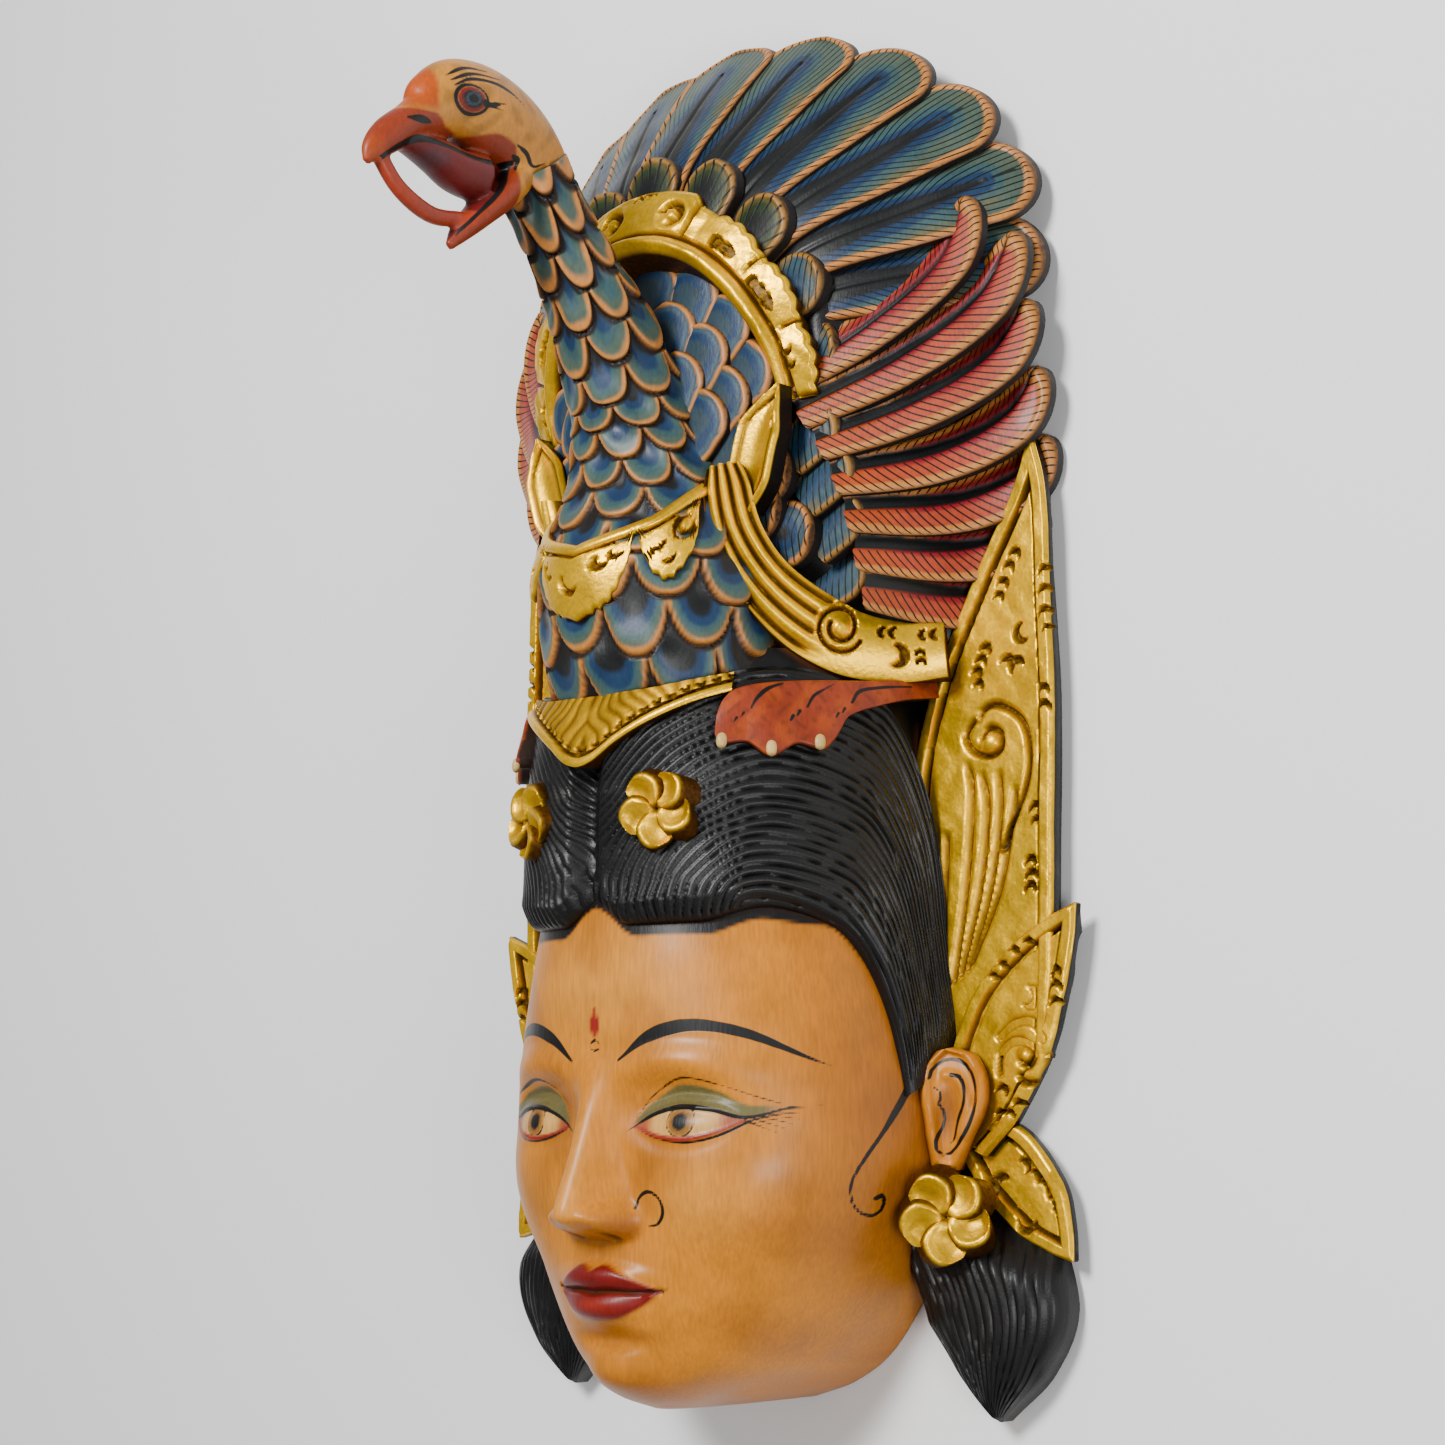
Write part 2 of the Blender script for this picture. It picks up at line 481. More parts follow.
def arch():
    a = np.radians(np.linspace(-97, 97, 13))
    mid = np.stack([61 * np.sin(a), ARCH_Y + 62 * np.cos(a), 64 + 19 * np.cos(a)], -1)
    out = np.stack([0.35 * np.sin(a), 0.35 * np.cos(a), 0.94 + 0 * a], -1)

    def half(t):
        turn = np.abs(t - 0.5) * 194
        leafy = ramp(turn, 23, 27)
        lobe = 1.2 * np.abs(np.sin(math.pi * (turn - 26) / 5.6)) + 2.2 * np.abs(np.sin(math.pi * (turn - 29) / 22.5))
        outer = smooth([(0, 14), (20, 13.5), (24, 9.5), (28, 7.5), (70, 5.5), (97, 4.5)], turn) + leafy * lobe
        return np.stack([outer, smooth([(0, 8.5), (0.25, 12), (0.5, 12), (0.75, 12), (1, 8.5)], t)], -1)

    moons = [(81.4, 1.6, 200, 1.0), (86.0, 1.0, 200, 0.9)]
    holes = [(38.3, 0.6, 0, 1.1), (43.0, 0.4, 0, 1.0), (57.4, 1.6, 0, 1.0), (61.4, 1.2, 0, 1.0), (65.3, 0.9, 0, 0.95)]

    def carve(s, t, x, y, w):
        turn = (t - 0.5) * 194
        side, flat = np.abs(turn), 1.08 * np.abs(turn)
        inner = np.where(x > 0, bump(np.clip(x - w + 3.0, -4, 4), 3.4), 0)
        cut = np.where(x > 0, bump(x - w + 6.9, 1.2), 0)
        deep = np.maximum(gouge(flat, x, [(1.08 * m, r, b, z) for m, r, b, z in moons], 2.3),
                          drops(flat, x, [(1.08 * m, r, b, z) for m, r, b, z in holes], 3.3))
        eyes, curl = 0 * x, 0 * x
        for mid_turn, level in ((-9.5, -3.8), (15.5, -3.4)):
            far = np.hypot(1.08 * (turn - mid_turn), x - level)
            way = np.arctan2(x - level, 1.08 * (turn - mid_turn))
            eyes = np.maximum(eyes, ramp(far, 5.4, 4.6) * ramp(far, 2.0, 2.8) * ramp(way, 2.1, 1.2))
            curl = np.maximum(curl, bump(far, 3.0) + 0.5 * bump(far - 6.6, 1.8))
        nicks = gouge(1.08 * turn, x, [(-0.5, -11, 60, 0.8), (2.6, -11.4, 60, 0.8), (5.6, -11.4, 60, 0.8)], 2.2)
        split = bump(side - 23.5, 1.1) + bump(((side - 29 + 11.25) % 22.5) - 11.25, 1.0) * (side > 30) * ramp(x, 3, -2)
        split = np.where(x < 4, np.clip(split, 0, 1), 0)
        deep = np.clip(cut + deep + eyes + nicks + 0.85 * split, 0, 1)
        dome = 1.3 * np.sin(math.pi * (((side - 29) % 22.5) / 22.5)) * (side > 25) * (x < 4)
        height = 2.6 + 2.0 * inner - 2.6 * deep + 1.0 * curl + dome + 0.15 * waver(x * 0.5, y * 0.35)
        height = height - 1.5 * ramp(w - np.abs(x), 1.8, 0)
        return height, gilt(0.95 * deep + 0.35 * ramp(w - np.abs(x), 1.0, 0))

    strip("gilt_arch", mid, half, carve, 14, out=out, wall=GILT_WALL, rows=0.75, even=True)


def leaf(name, points, half, place_of, height, low, flute, moons, curls, volute):
    """Flat gilt leaf with a raised rim, a groove inside it, gouge cuts, and a curl."""

    def carve(s, t, x, y, w):
        px, py = place_of(x, t)
        room = np.minimum(w - np.abs(x), 200 * (1 - t) + 0.3)
        rim_groove = bump(room - 6.0, 1.3) * ramp(1 - t, 0.03, 0.08)
        rim = ramp(room, 6.6, 5.2)
        moon = gouge(px, py, moons, 2.7)
        cut = grooves(px, py, flute, 2.3) * 0.85
        spiral = grooves(px, py, curls, 1.9)
        knob = np.zeros_like(x)
        for cx, cy, r in volute:
            knob = np.maximum(knob, bump(np.hypot(px - cx, py - cy), r))
        deep = np.clip(rim_groove + moon + spiral + 0.9 * cut, 0, 1)
        h = height + 2.2 * rim - 2.6 * np.clip(rim_groove + moon + spiral, 0, 1) - 2.4 * cut + 2.0 * knob
        h = h - 1.6 * ramp(room, 1.3, 0) + 0.12 * waver(px * 0.4, py * 0.3, height)
        return h, gilt(deep + 0.3 * ramp(room, 0.8, 0))

    strip(name, points, half, carve, 0.0, wall=coat(COAL, wax=0.3), edge=low, rows=0.75, even=True)


def frame_of(points):
    """Gives the place in the leaf's plane of millimetres across at a share along its path."""
    def place_of(x, t):
        place = along(points, t)
        ahead = unit(along(points, np.minimum(t + 0.01, 1)) - along(points, np.maximum(t - 0.01, 0)))
        return place[..., 0] + ahead[..., 1] * x, place[..., 1] - ahead[..., 0] * x
    return place_of


def leaves():
    tall = [(101, 122, 0), (103, 160, 0), (105, 205, 0), (108, 240, 0), (113, 280, 0), (120, 316, 0), (121, 337, 0)]
    leaf("tall_leaves", tall,
         [(0, 28, 24), (0.2, 35, 24), (0.42, 38, 23), (0.56, 33, 21), (0.74, 19, 15), (0.9, 7, 7), (1, 0.4, 0.4)],
         frame_of(tall), 10.7, 8.6,
         [[(91, 224), (93, 213), (90, 180), (84, 148)], [(97, 220), (99.5, 208), (96, 180), (87, 150)],
          [(104.7, 220), (105, 206), (100, 178), (90, 152)], [(112, 214), (109, 198), (104, 178), (92, 154)],
          [(82, 200), (80, 168), (80, 144)]],
         [(127, 286, 270, 1), (126.6, 279, 270, 1), (126.5, 271.6, 270, 1), (127.5, 266, 270, 0.7),
          (112.9, 293.9, 250, 1), (110.3, 289.6, 250, 1), (107.6, 284.2, 250, 1), (105.8, 279.7, 250, 0.9),
          (99.7, 261.9, 250, 1), (97.7, 258, 250, 1), (95.7, 254, 250, 1), (96.5, 249.7, 250, 0.9),
          (115.2, 266.1, 20, 1.4), (109, 256, 230, 1.3), (113, 255, 300, 1.3),
          (125.6, 244.8, 270, 1), (125.8, 239.2, 270, 1), (117.6, 186.8, 270, 1), (118.1, 182.3, 270, 1),
          (117.4, 177.9, 270, 1), (120, 205, 270, 1), (120.5, 200.5, 270, 0.8)],
         [[(95.5, 236), (98.7, 241.3), (105, 242.2), (114.9, 235.7), (117.8, 224.3), (115.7, 212.3), (105.5, 192)],
          [(95.5, 238.6), (90.9, 232.8), (93.4, 227.4), (100.9, 224.7), (106, 227.3), (105.5, 232.5), (101, 234.4),
           (98.5, 231)]], [(101.5, 229.5, 5.0)])
    side = [(90, 92, 0), (100, 114, 0), (116, 143, 0), (137, 172, 0)]
    leaf("side_leaves", side, [(0, 10), (0.2, 17), (0.45, 19), (0.7, 14), (0.88, 7), (1, 0.4)], frame_of(side),
         11.7, 9.4, [],
         [(103.3, 147.5, 215, 1), (107.1, 151.4, 220, 1), (112.1, 156.2, 225, 1), (118.3, 158.9, 230, 1),
          (129.2, 149.1, 270, 1), (129.2, 144.2, 270, 1), (129, 138.9, 270, 0.9), (117.3, 141.1, 160, 1.5),
          (105.1, 109.8, 250, 1), (113.6, 104.8, 250, 1), (104.3, 101.9, 250, 0.8), (109.6, 101.9, 250, 0.8)],
         [[(103, 127), (110.4, 132.4), (117.8, 132.8), (123.7, 127)],
          [(104, 114), (104.7, 122.6), (110.3, 126.5), (116.4, 125.4), (120, 121.4), (117.5, 118), (113.3, 119.6)],
          [(111.4, 115.6), (116.2, 112.7), (122.2, 113.6), (125.4, 121.4)]], [(115.5, 121.5, 4.5)])
    low = [(92, 94, 0), (104, 86, 0), (117, 73, 0), (132, 54, 0)]
    leaf("side_leaves", low, [(0, 9), (0.3, 14.5), (0.6, 13), (0.85, 6.5), (1, 0.4)], frame_of(low), 9.2, 7.0, [],
         [(102.5, 78.3, 330, 1.6), (112, 85, 210, 1), (116.2, 81.4, 210, 1), (120, 78, 210, 1), (123.4, 72.8, 210, 1),
          (113.8, 65.5, 90, 1.3)], [], [])


HEAD_HALF = [(2, 12), (8, 30), (18, 46), (32, 58), (50, 69), (70, 78), (90, 83), (110, 84), (130, 82), (150, 78),
             (175, 74), (210, 72), (240, 70), (262, 66)]
HEAD_DEPTH = [(2, 68), (6, 78), (14, 87), (24, 91), (40, 94), (60, 97), (80, 99), (100, 100),
              (120, 101), (150, 102), (175, 101), (200, 101), (225, 99), (245, 95), (262, 88)]


def shell(phi, y, lift):
    """Place on the head, lift above it, phi round from the middle of the face to its side."""
    half, depth = smooth(HEAD_HALF, y) + lift, smooth(HEAD_DEPTH, y) + lift
    full = smooth([(100, 0.80), (180, 0.95)], y)
    x = half * np.sign(phi) * np.abs(np.sin(phi)) ** full
    z = depth * np.maximum(np.cos(phi), 0) ** full
    return np.stack([x, y + 0 * x, z], -1)


UPPER_LID = [(16, 98), (23, 101.6), (33, 104.0), (44, 103.2), (54, 100.5)]
LOWER_LID = [(16, 98), (25, 95.5), (35, 94.6), (45, 96.4), (54, 100.5)]
LIP_TOP = [(0, 50.0), (5, 52.0), (13, 48.6), (24, 43.6)]
LIP_LINE = [(0, 42.6), (8, 43.4), (16, 43.0), (24, 43.6)]
LIP_LOW = [(0, 33.0), (8, 34.0), (16, 37.6), (24, 43.6)]


def features(x, y):
    """How far brow, eyes, nose, lips, cheeks and chin stand out of the plain head."""
    a = np.abs(x)
    z = 2.5 * hill(a, y, 34, 119 - 0.004 * (a - 34) ** 2, 30, 9)
    z = z - 6.5 * hill(a, y, 31, 104, 25, 17) + 6.0 * hill(a, y, 34, 100, 19, 11)
    z = z + 3.5 * hill(a, y, 52, 76, 34, 28)
    ridge = smooth([(60, 0), (64, 15), (68, 21), (76, 18), (88, 12.5), (100, 8), (112, 4), (124, 0)], y)
    wide = smooth([(60, 17), (72, 16), (88, 12), (104, 11), (124, 18)], y)
    z = z + ridge * bump(x, 1.0 * wide) + 7.5 * hill(a, y, 11.5, 67, 8, 8)
    z = z + 4.5 * hill(x, y, 0, 42, 36, 26)
    z = z + 3.4 * hill(x, y, 0, 48, 27, 6.5) + 4.0 * hill(x, y, 0, 37.5, 22, 7.5)
    z = z - 3.0 * hill(x, y, 0, 27, 24, 6) + 6.0 * hill(x, y, 0, 13, 24, 14)
    lid = y - smooth(UPPER_LID, a)
    inside = (a > 16) & (a < 53)
    z = z + np.where(inside, 1.3 * bump(lid - 0.9, 1.6) * bump((a - 34.5) / 18.5, 1.0) ** 0.3, 0)
    z = z - np.where(inside, 0.8 * bump(lid - 5.2, 1.6) * bump((a - 34.5) / 18.5, 1.0) ** 0.3, 0)
    low = y - smooth(LOWER_LID, a)
    z = z + np.where(inside, 0.8 * bump(low + 0.9, 1.3) * bump((a - 34.5) / 18.5, 1.0) ** 0.3, 0)
    mouth = a < 24
    z = z - np.where(mouth, 1.7 * bump(y - smooth(LIP_LINE, a), 1.5), 0)
    z = z + np.where(mouth, 1.2 * ramp(y, smooth(LIP_LOW, a) - 0.8, smooth(LIP_LOW, a) + 1.0)
                     * ramp(y, smooth(LIP_TOP, a) + 0.8, smooth(LIP_TOP, a) - 1.0), 0)
    z = z - 0.9 * hill(x, y, 0, 56, 4, 7) - 2.2 * hill(a, y, 8.5, 61.5, 4.5, 2.2)
    return z


def face_paint(arc, x, y):
    """Ochre skin, painted brows, eyes, lips, the black under the hair, and the thin ink lines."""
    a = np.abs(x)
    paint = over(SKIN, SKIN_SHADE, 0.55 * ramp(a, 50, 82) + 0.3 * ramp(y, 24, 4))
    paint = over(paint, SKIN_LIGHT, 0.5 * hill(x, y, 0, 145, 50, 30) + 0.4 * hill(a, y, 40, 72, 24, 20)
                 + 0.5 * hill(x, y, 0, 80, 7, 30))
    paint = over(paint, SKIN_SHADE, 0.5 * hill(a, y, 15, 64, 6, 8) + 0.4 * hill(x, y, 0, 27, 26, 5)
                 + 0.4 * hill(a, y, 20, 98, 14, 22) + 0.25 * ramp(waver(x * 0.07, y * 0.05), 0.1, 0.9))
    lid, low = smooth(UPPER_LID, a), smooth(LOWER_LID, a)
    inside = (a > 16) & (a < 54)
    shade = smooth([(14, 0), (22, 5.5), (34, 8.0), (46, 6.5), (64, 1.0)], a)
    raised = smooth([(12, 97), (22, 101.2), (33, 104.0), (44, 103.2), (54, 101), (64, 104)], a)
    cover = ramp(y, raised - 0.4, raised + 0.6) * ramp(y, raised + shade + 0.5, raised + shade - 0.5)
    paint = over(paint, SHADOW, cover * ramp(a, 13, 17) * ramp(a, 64, 58) * 0.9)
    eye = ramp(y, lid + 0.4, lid - 0.4) * ramp(y, low - 0.4, low + 0.4) * inside
    ring = np.hypot(a - 34.5, y - 99.6)
    white = over(over(np.broadcast_to(EYE_WHITE, x.shape + (3,)), EYE_RED, 0.8 * ramp(np.abs(a - 34.5), 10, 15)),
                 IRIS, ramp(ring, 5.0, 4.4))
    white = over(white, BLACK, ramp(ring, 3.2, 2.6))
    paint = paint + (white - paint) * eye[..., None]
    paint = over(paint, EYE_RED, brush(a, y, [(16, 98), (25, 94.9), (35, 93.9), (45, 95.7), (54, 100)],
                                       [(0, 1.2), (0.5, 1.8), (1, 1.0)]))
    mouth = (a < 24.5) * ramp(y, smooth(LIP_LOW, a) - 0.5, smooth(LIP_LOW, a) + 0.5)
    mouth = mouth * ramp(y, smooth(LIP_TOP, a) + 0.5, smooth(LIP_TOP, a) - 0.5)
    paint = over(paint, LIPS, mouth)
    paint = over(paint, hue("#9A2A18"), mouth * 0.6 * hill(x, y, 0, 38, 13, 4))
    paint = over(paint, hue("#2A0604"), brush(a, y, [(0, 42.6), (8, 43.4), (16, 43.0), (25.5, 44.2)],
                                              [(0, 1.5), (0.8, 1.2), (1, 0.5)]))
    paint = over(paint, EYE_RED, brush(x, y, [(0, 138), (0, 134), (0, 129.5)], [(0, 0.3), (0.7, 4.6), (1, 3.0)]))
    paint = over(paint, BROWN, 0.9 * hill(a, y, 8.5, 61.5, 4.2, 2.4))
    strokes = [
        ([(13, 96.4), (22, 101.4), (33, 104.4), (44, 103.6), (54, 101), (66, 104.6)], [(0, 0.6), (0.4, 1.9), (1, 0.5)]),
        ([(17, 96.8), (26, 93.9), (36, 92.7), (46, 94.6), (56, 100)], [(0, 0.4), (0.6, 0.9), (1, 0.7)]),
        ([(15, 100), (22, 108.5), (34, 114), (47, 111.5), (63, 105.5)], [(0, 0.3), (0.5, 0.9), (1, 0.4)]),
        ([(11, 120), (23, 128), (38, 131.6), (54, 128.5), (72, 118)], [(0, 0.8), (0.3, 4.4), (0.65, 3.2), (1, 0.4)])]
    for k in range(7):
        strokes.append(([(54 + 1.7 * k, 100.2 + 0.7 * k), (62 + 1.5 * k, 96.0 + 1.5 * k)], [(0, 0.8), (1, 0.5)]))
    line = inked(a, y, strokes)
    far = np.where((eye > 0.4) & (a > 20), np.abs(ring - 5.1) - 0.4, 9)
    line = np.minimum(line, np.clip(LINE_EDGE + 0.1 * far, 0, 0.45))
    line = np.minimum(line, inked(x, y, [
        ([(-2.4, 125.6), (0, 127.0), (2.4, 125.6)], [(0, 0.6), (0.5, 1.2), (1, 0.6)]),
        ([(-2.2, 124.2), (0, 123.4), (2.2, 124.2)], [(0, 0.6), (0.5, 1.0), (1, 0.6)]),
        ([(16.5, 70.5), (17.8, 74.4), (21.8, 76.4), (26, 74), (27, 69.6), (24.5, 65.8), (20.5, 64.8)],
         [(0, 1.2), (1, 1.0)])]))
    line = np.minimum(line, inked(arc, y, [(CURL, [(0, 5.0), (0.22, 2.6), (0.5, 1.5), (0.85, 1.1), (1, 1.4)])]))
    edge = smooth(HAIR_EDGE, arc) + 0.7 * waver(arc * 0.12, y * 0.1)
    paint = over(paint, BLACK, ramp(y, edge - 0.6, edge + 0.6))
    return paint, line


# Painted edge of the hair and the curl before the ear: millimetres round the head and height
HAIR_EDGE = [(0, 172), (20, 162), (43, 162), (65, 167), (85, 165), (97, 155), (105, 141), (112, 124), (118, 117),
             (132, 114)]
CURL = [(115, 121), (111, 112), (103, 98), (96, 88), (92.5, 80), (94, 73), (98.5, 69), (103.5, 68.5), (106, 72),
        (104.5, 75), (102, 74)]
FACE_WALL, HOLLOW_EDGE = 20.0, 22.0


def head():
    """The face over the head's whole front, and the hollow cut in behind it from the flat back."""
    fine = 0.75 * STEP
    y = np.concatenate([np.linspace(2, 30, int(28 / STEP)), np.arange(30 + fine, 56, fine), np.arange(56, 90, STEP),
                        np.arange(90, 134, fine), np.arange(134, 184, 1.3 * STEP), [190, 205, 222, 240, 262]])
    u = np.linspace(-1, 1, int(215 / STEP))
    phi = math.pi / 2 * (0.72 * u + 0.28 * u ** 3)
    front = shell(phi[None], y[:, None], 0.0)
    front[..., 2] += features(front[..., 0], front[..., 1]) * (front[..., 2] > 20)
    px, py = front[..., 0], front[..., 1]
    paint, line = face_paint(84 * np.abs(phi[None]) + 0 * px, px, py)
    low, high = 2 + HOLLOW_EDGE, 240 - HOLLOW_EDGE
    middle = np.clip((2 * y - low - high) / (high - low), -1, 1)
    ends = np.sqrt(np.maximum(1 - middle ** 6, 0.0))
    half, deep = smooth(HEAD_HALF, y), smooth(HEAD_DEPTH, y)
    inner = np.maximum((half - FACE_WALL) * ends, 0.2 * half)
    arc = np.linspace(-math.pi / 2, math.pi / 2, 25)
    x = np.concatenate([-half[:, None], inner[:, None] * np.sin(arc), half[:, None]], 1)
    depth = np.maximum((deep - FACE_WALL) * ends, 0)
    z = np.concatenate([0 * half[:, None], depth[:, None] * np.cos(arc), 0 * half[:, None]], 1)
    z = z + 0.7 * np.minimum(z, 1) * waver(x * 0.35, y[:, None] * 0.3)
    back = np.stack([x, y[:, None] + 0 * x, z], -1)
    closed("face", front, back, coat(paint, line, 1.0), coat(BROWN * 0.5, wax=0.5))


def strands(s, t):
    """Angle round the head and height of the hair: s back from the hairline, t down the strand."""
    front = smooth([(0, 0.0, 175), (0.10, 0.18, 165.5), (0.3, 0.5, 166), (0.5, 0.78, 171), (0.66, 1.05, 165),
                    (0.8, 1.2, 147), (1, 1.30, 108)], t)
    crown = smooth([(0, 0.0, 226), (0.2, 0.35, 245), (0.45, 0.85, 254), (0.66, 1.25, 243),
                    (0.82, 1.46, 200), (1, 1.54, 126)], t)
    return front + (crown - front) * s[..., None]


def hair():
    """Hair combed from the middle parting in arches over the brow and down to the ear."""
    s, t = np.meshgrid(np.linspace(0, 1, int(104 / STEP)), np.linspace(0, 1, int(210 / STEP)))
    place = strands(s, t)
    bend = 0.44
    row = np.where(t < bend, np.hypot(24 * s, 17 * (1 - t / bend)), 24 * s + 1.2 * (t - bend))
    row = row + 0.30 * waver(s * 7, t * 4) + 0.12 * waver(s * 23, t * 17)
    valley = 1 - 0.9 * bump(t, 0.055)
    body_lift = 7.5 * np.sqrt(np.clip(s / 0.10, 0.0, 1)) * smooth([(0, 0.75), (0.12, 1), (0.8, 1), (1, 0.4)], t) * valley
    cut = np.abs(np.sin(math.pi * row)) ** 0.5
    deep = ramp(s, 0.0, 0.03) * ramp(t, 1.0, 0.93) * (0.75 + 0.25 * waver(s * 11 + 3, t * 6))
    lift = np.maximum(body_lift + (1.9 * cut - 1.4) * deep, 0.3)
    front = shell(place[..., 0], place[..., 1], lift)
    across, down = np.meshgrid(np.linspace(0, 1, 7), t[:, 0])
    inner = strands(across, down)
    skin = coat(over(HAIR, BLACK, ramp(cut, 0.5, 0.1)), row * 2.0, 0.5, 0)
    closed("hair", front, shell(inner[..., 0], inner[..., 1], -9.0), skin, coat(BLACK))


NECK = [(0.00, 240, 60, 43, 38), (0.10, 262, 66, 44, 40), (0.24, 289, 66, 45, 44), (0.36, 311, 70, 38, 35),
        (0.50, 335, 79, 25, 22), (0.60, 353, 86, 20, 19.5), (0.72, 376, 99, 16.5, 16.5), (0.82, 393, 111, 13, 13),
        (0.92, 410, 124, 11.5, 11.5), (1.00, 426, 136, 11.5, 11.5)]


def neck_place(t, angle, lift):
    """Place on the bird's body and neck: t up it, angle round from the front."""
    row = smooth(NECK, t)
    ahead = smooth(NECK, np.minimum(t + 0.01, 1)) - smooth(NECK, np.maximum(t - 0.01, 0))
    rise = unit(ahead[..., :2])
    x = (row[..., 2] + lift) * np.sin(angle)
    front = (row[..., 3] + lift) * np.cos(angle)
    lean = smooth([(0, 0), (0.5, 0.3), (0.65, 1), (1, 1)], t)
    return np.stack([x, row[..., 0] - front * rise[..., 1] * lean,
                     row[..., 1] + front * (1 - lean + lean * rise[..., 0])], -1)


def scales(angle, rows, around):
    """Overlapping scales, upper ones over lower ones: share of the way out from each one's middle, its half width,
    and how far the next scale above lies off."""
    found, wide, gap = np.full(angle.shape, 9.0), np.ones(angle.shape), np.full(angle.shape, 9.0)
    drop = 1.35
    for extra in (0, 1, 2):
        k = np.floor(rows + drop * 1.07) - extra
        count = np.round(smooth(around, k))
        turn = angle / (2 * math.pi) * count + 0.5 * (k % 2) + 0.1 * np.sin(7 * k)
        cell = np.floor(turn + 0.5)
        local = turn - cell
        long = drop * (1 + 0.07 * np.sin(3.7 * (cell % count) + 5.1 * k))
        below = np.maximum(k - rows, 0) / long
        far = (np.abs(local / 0.53) ** 2.3 + below ** 2.3) ** (1 / 2.3)
        gap = np.where(found > 1, np.minimum(gap, np.where(far < 1, 9, far - 1)), gap)
        take = (found > 1) & (far < 1)
        found, wide = np.where(take, far, found), np.where(take, 1 / count, wide)
    return found, wide, gap


def neck():
    """Body and neck under rows of scales that grow from the throat down."""
    rows = int(300 / STEP)
    u = np.linspace(-1, 1, int(200 / STEP) + 1)[None, :-1]
    t = np.linspace(0, 1, rows)[:, None] + 0 * u
    angle = np.zeros((rows, 1)) + math.pi * (0.78 * u + 0.22 * u ** 3)
    row = smooth([(0, -0.3), (0.26, 2.7), (0.45, 5.2), (0.6, 7.6), (1, 13.2)], t)
    far, wide, gap = scales(angle, row, [(0, 11), (3, 12), (5, 11), (7, 9), (9, 7), (11, 7), (14, 7)])
    radius = smooth([(r[0], r[3]) for r in NECK], t)
    d = (1 - far) * wide * math.pi * radius * 1.15
    hand = waver(angle * 6, t * 40)
    paint = scale_paint(d, hand)
    shut = np.maximum(ramp(d, 0.8, 0.1), ramp(gap * wide * math.pi * radius * 1.15, 1.2, 0.3))
    lift = 2.5 * ramp(far, 0.1, 0.92) * ramp(far, 1.0, 0.92) + 0.3 * hand
    turned("bird_neck", neck_place(t, angle, lift), coat(over(paint, BLACK, shut), wax=0.9 * shut))


def pipe(rows, count=28):
    """Rings of an oval tube in the middle plane: rows of (y, z, half across, half high)."""
    rows = np.asarray(rows, float)
    fine = along(rows, np.linspace(0, 1, 7 * len(rows)))
    ahead = unit(np.gradient(fine[:, :2], axis=0))
    a = np.linspace(0, 2 * math.pi, count, endpoint=False)
    across = fine[:, 2:3] * np.cos(a)
    lift = fine[:, 3:4] * np.sin(a)
    return np.stack([across, fine[:, :1] - lift * -ahead[:, 1:], fine[:, 1:2] - lift * ahead[:, :1]], -1)


BIRD_TUBES = [
    [(412, 124, 8, 8), (424, 131, 11, 12), (434, 143, 13, 15), (440, 158, 13.5, 16), (441, 172, 12, 14.5),
     (437, 183, 9, 10.5), (434, 188, 6, 7)],
    [(438, 170, 9.5, 9), (434, 182, 9, 9), (428, 192, 7.5, 6.5), (421, 201, 5.5, 6), (415, 207, 3.2, 4.2),
     (410, 209.5, 1, 1.5)],
    [(426, 140, 9, 7), (414, 150, 10, 6), (405, 159, 8.5, 4.8), (397, 167, 5.5, 3.6), (390, 173, 1.2, 1.6)],
    [(415, 205, 2.6, 3), (406, 197, 2.6, 3), (401, 188, 2.6, 3.2), (399, 179, 2.6, 3), (401, 167, 2.6, 2.6)],
    [(421.5, 196, 4.2, 3), (421, 188, 6, 4.6), (419.5, 179, 7.5, 6.2), (417, 170, 8.5, 7.4), (417, 160, 9, 8.5)]]


def fused(rings_list, fine):
    """One smooth skin over several tubes."""
    mesh = bpy.data.meshes.new("tubes")
    verts, faces = [], []
    for rings in rings_list:
        rows, cols = rings.shape[:2]
        cell = len(verts) + np.arange(rows * cols).reshape(rows, cols)
        wrap = np.concatenate([cell, cell[:, :1]], 1)
        verts += [tuple(p) for p in rings.reshape(-1, 3) * MM]
        faces += [tuple(q) for q in quads_of(wrap)] + [tuple(cell[0][::-1]), tuple(cell[-1])]
    mesh.from_pydata(verts, [], faces)
    made = bpy.data.objects.new("tubes", mesh)
    bpy.context.scene.collection.objects.link(made)
    join = made.modifiers.new("join", "REMESH")
    join.mode = "VOXEL"
    join.voxel_size = fine * MM
    ease = made.modifiers.new("ease", "SMOOTH")
    ease.factor = 0.5
    ease.iterations = 5
    bpy.context.view_layer.update()
    result = bpy.data.meshes.new_from_object(made.evaluated_get(bpy.context.evaluated_depsgraph_get()))
    points = np.array([v.co[:] for v in result.vertices]) / MM
    quads = np.array([p.vertices[:] for p in result.polygons])
    bpy.data.objects.remove(made)
    bpy.data.meshes.remove(result)
    return points, quads


EYE_PLACE = (438.5, 173.5)


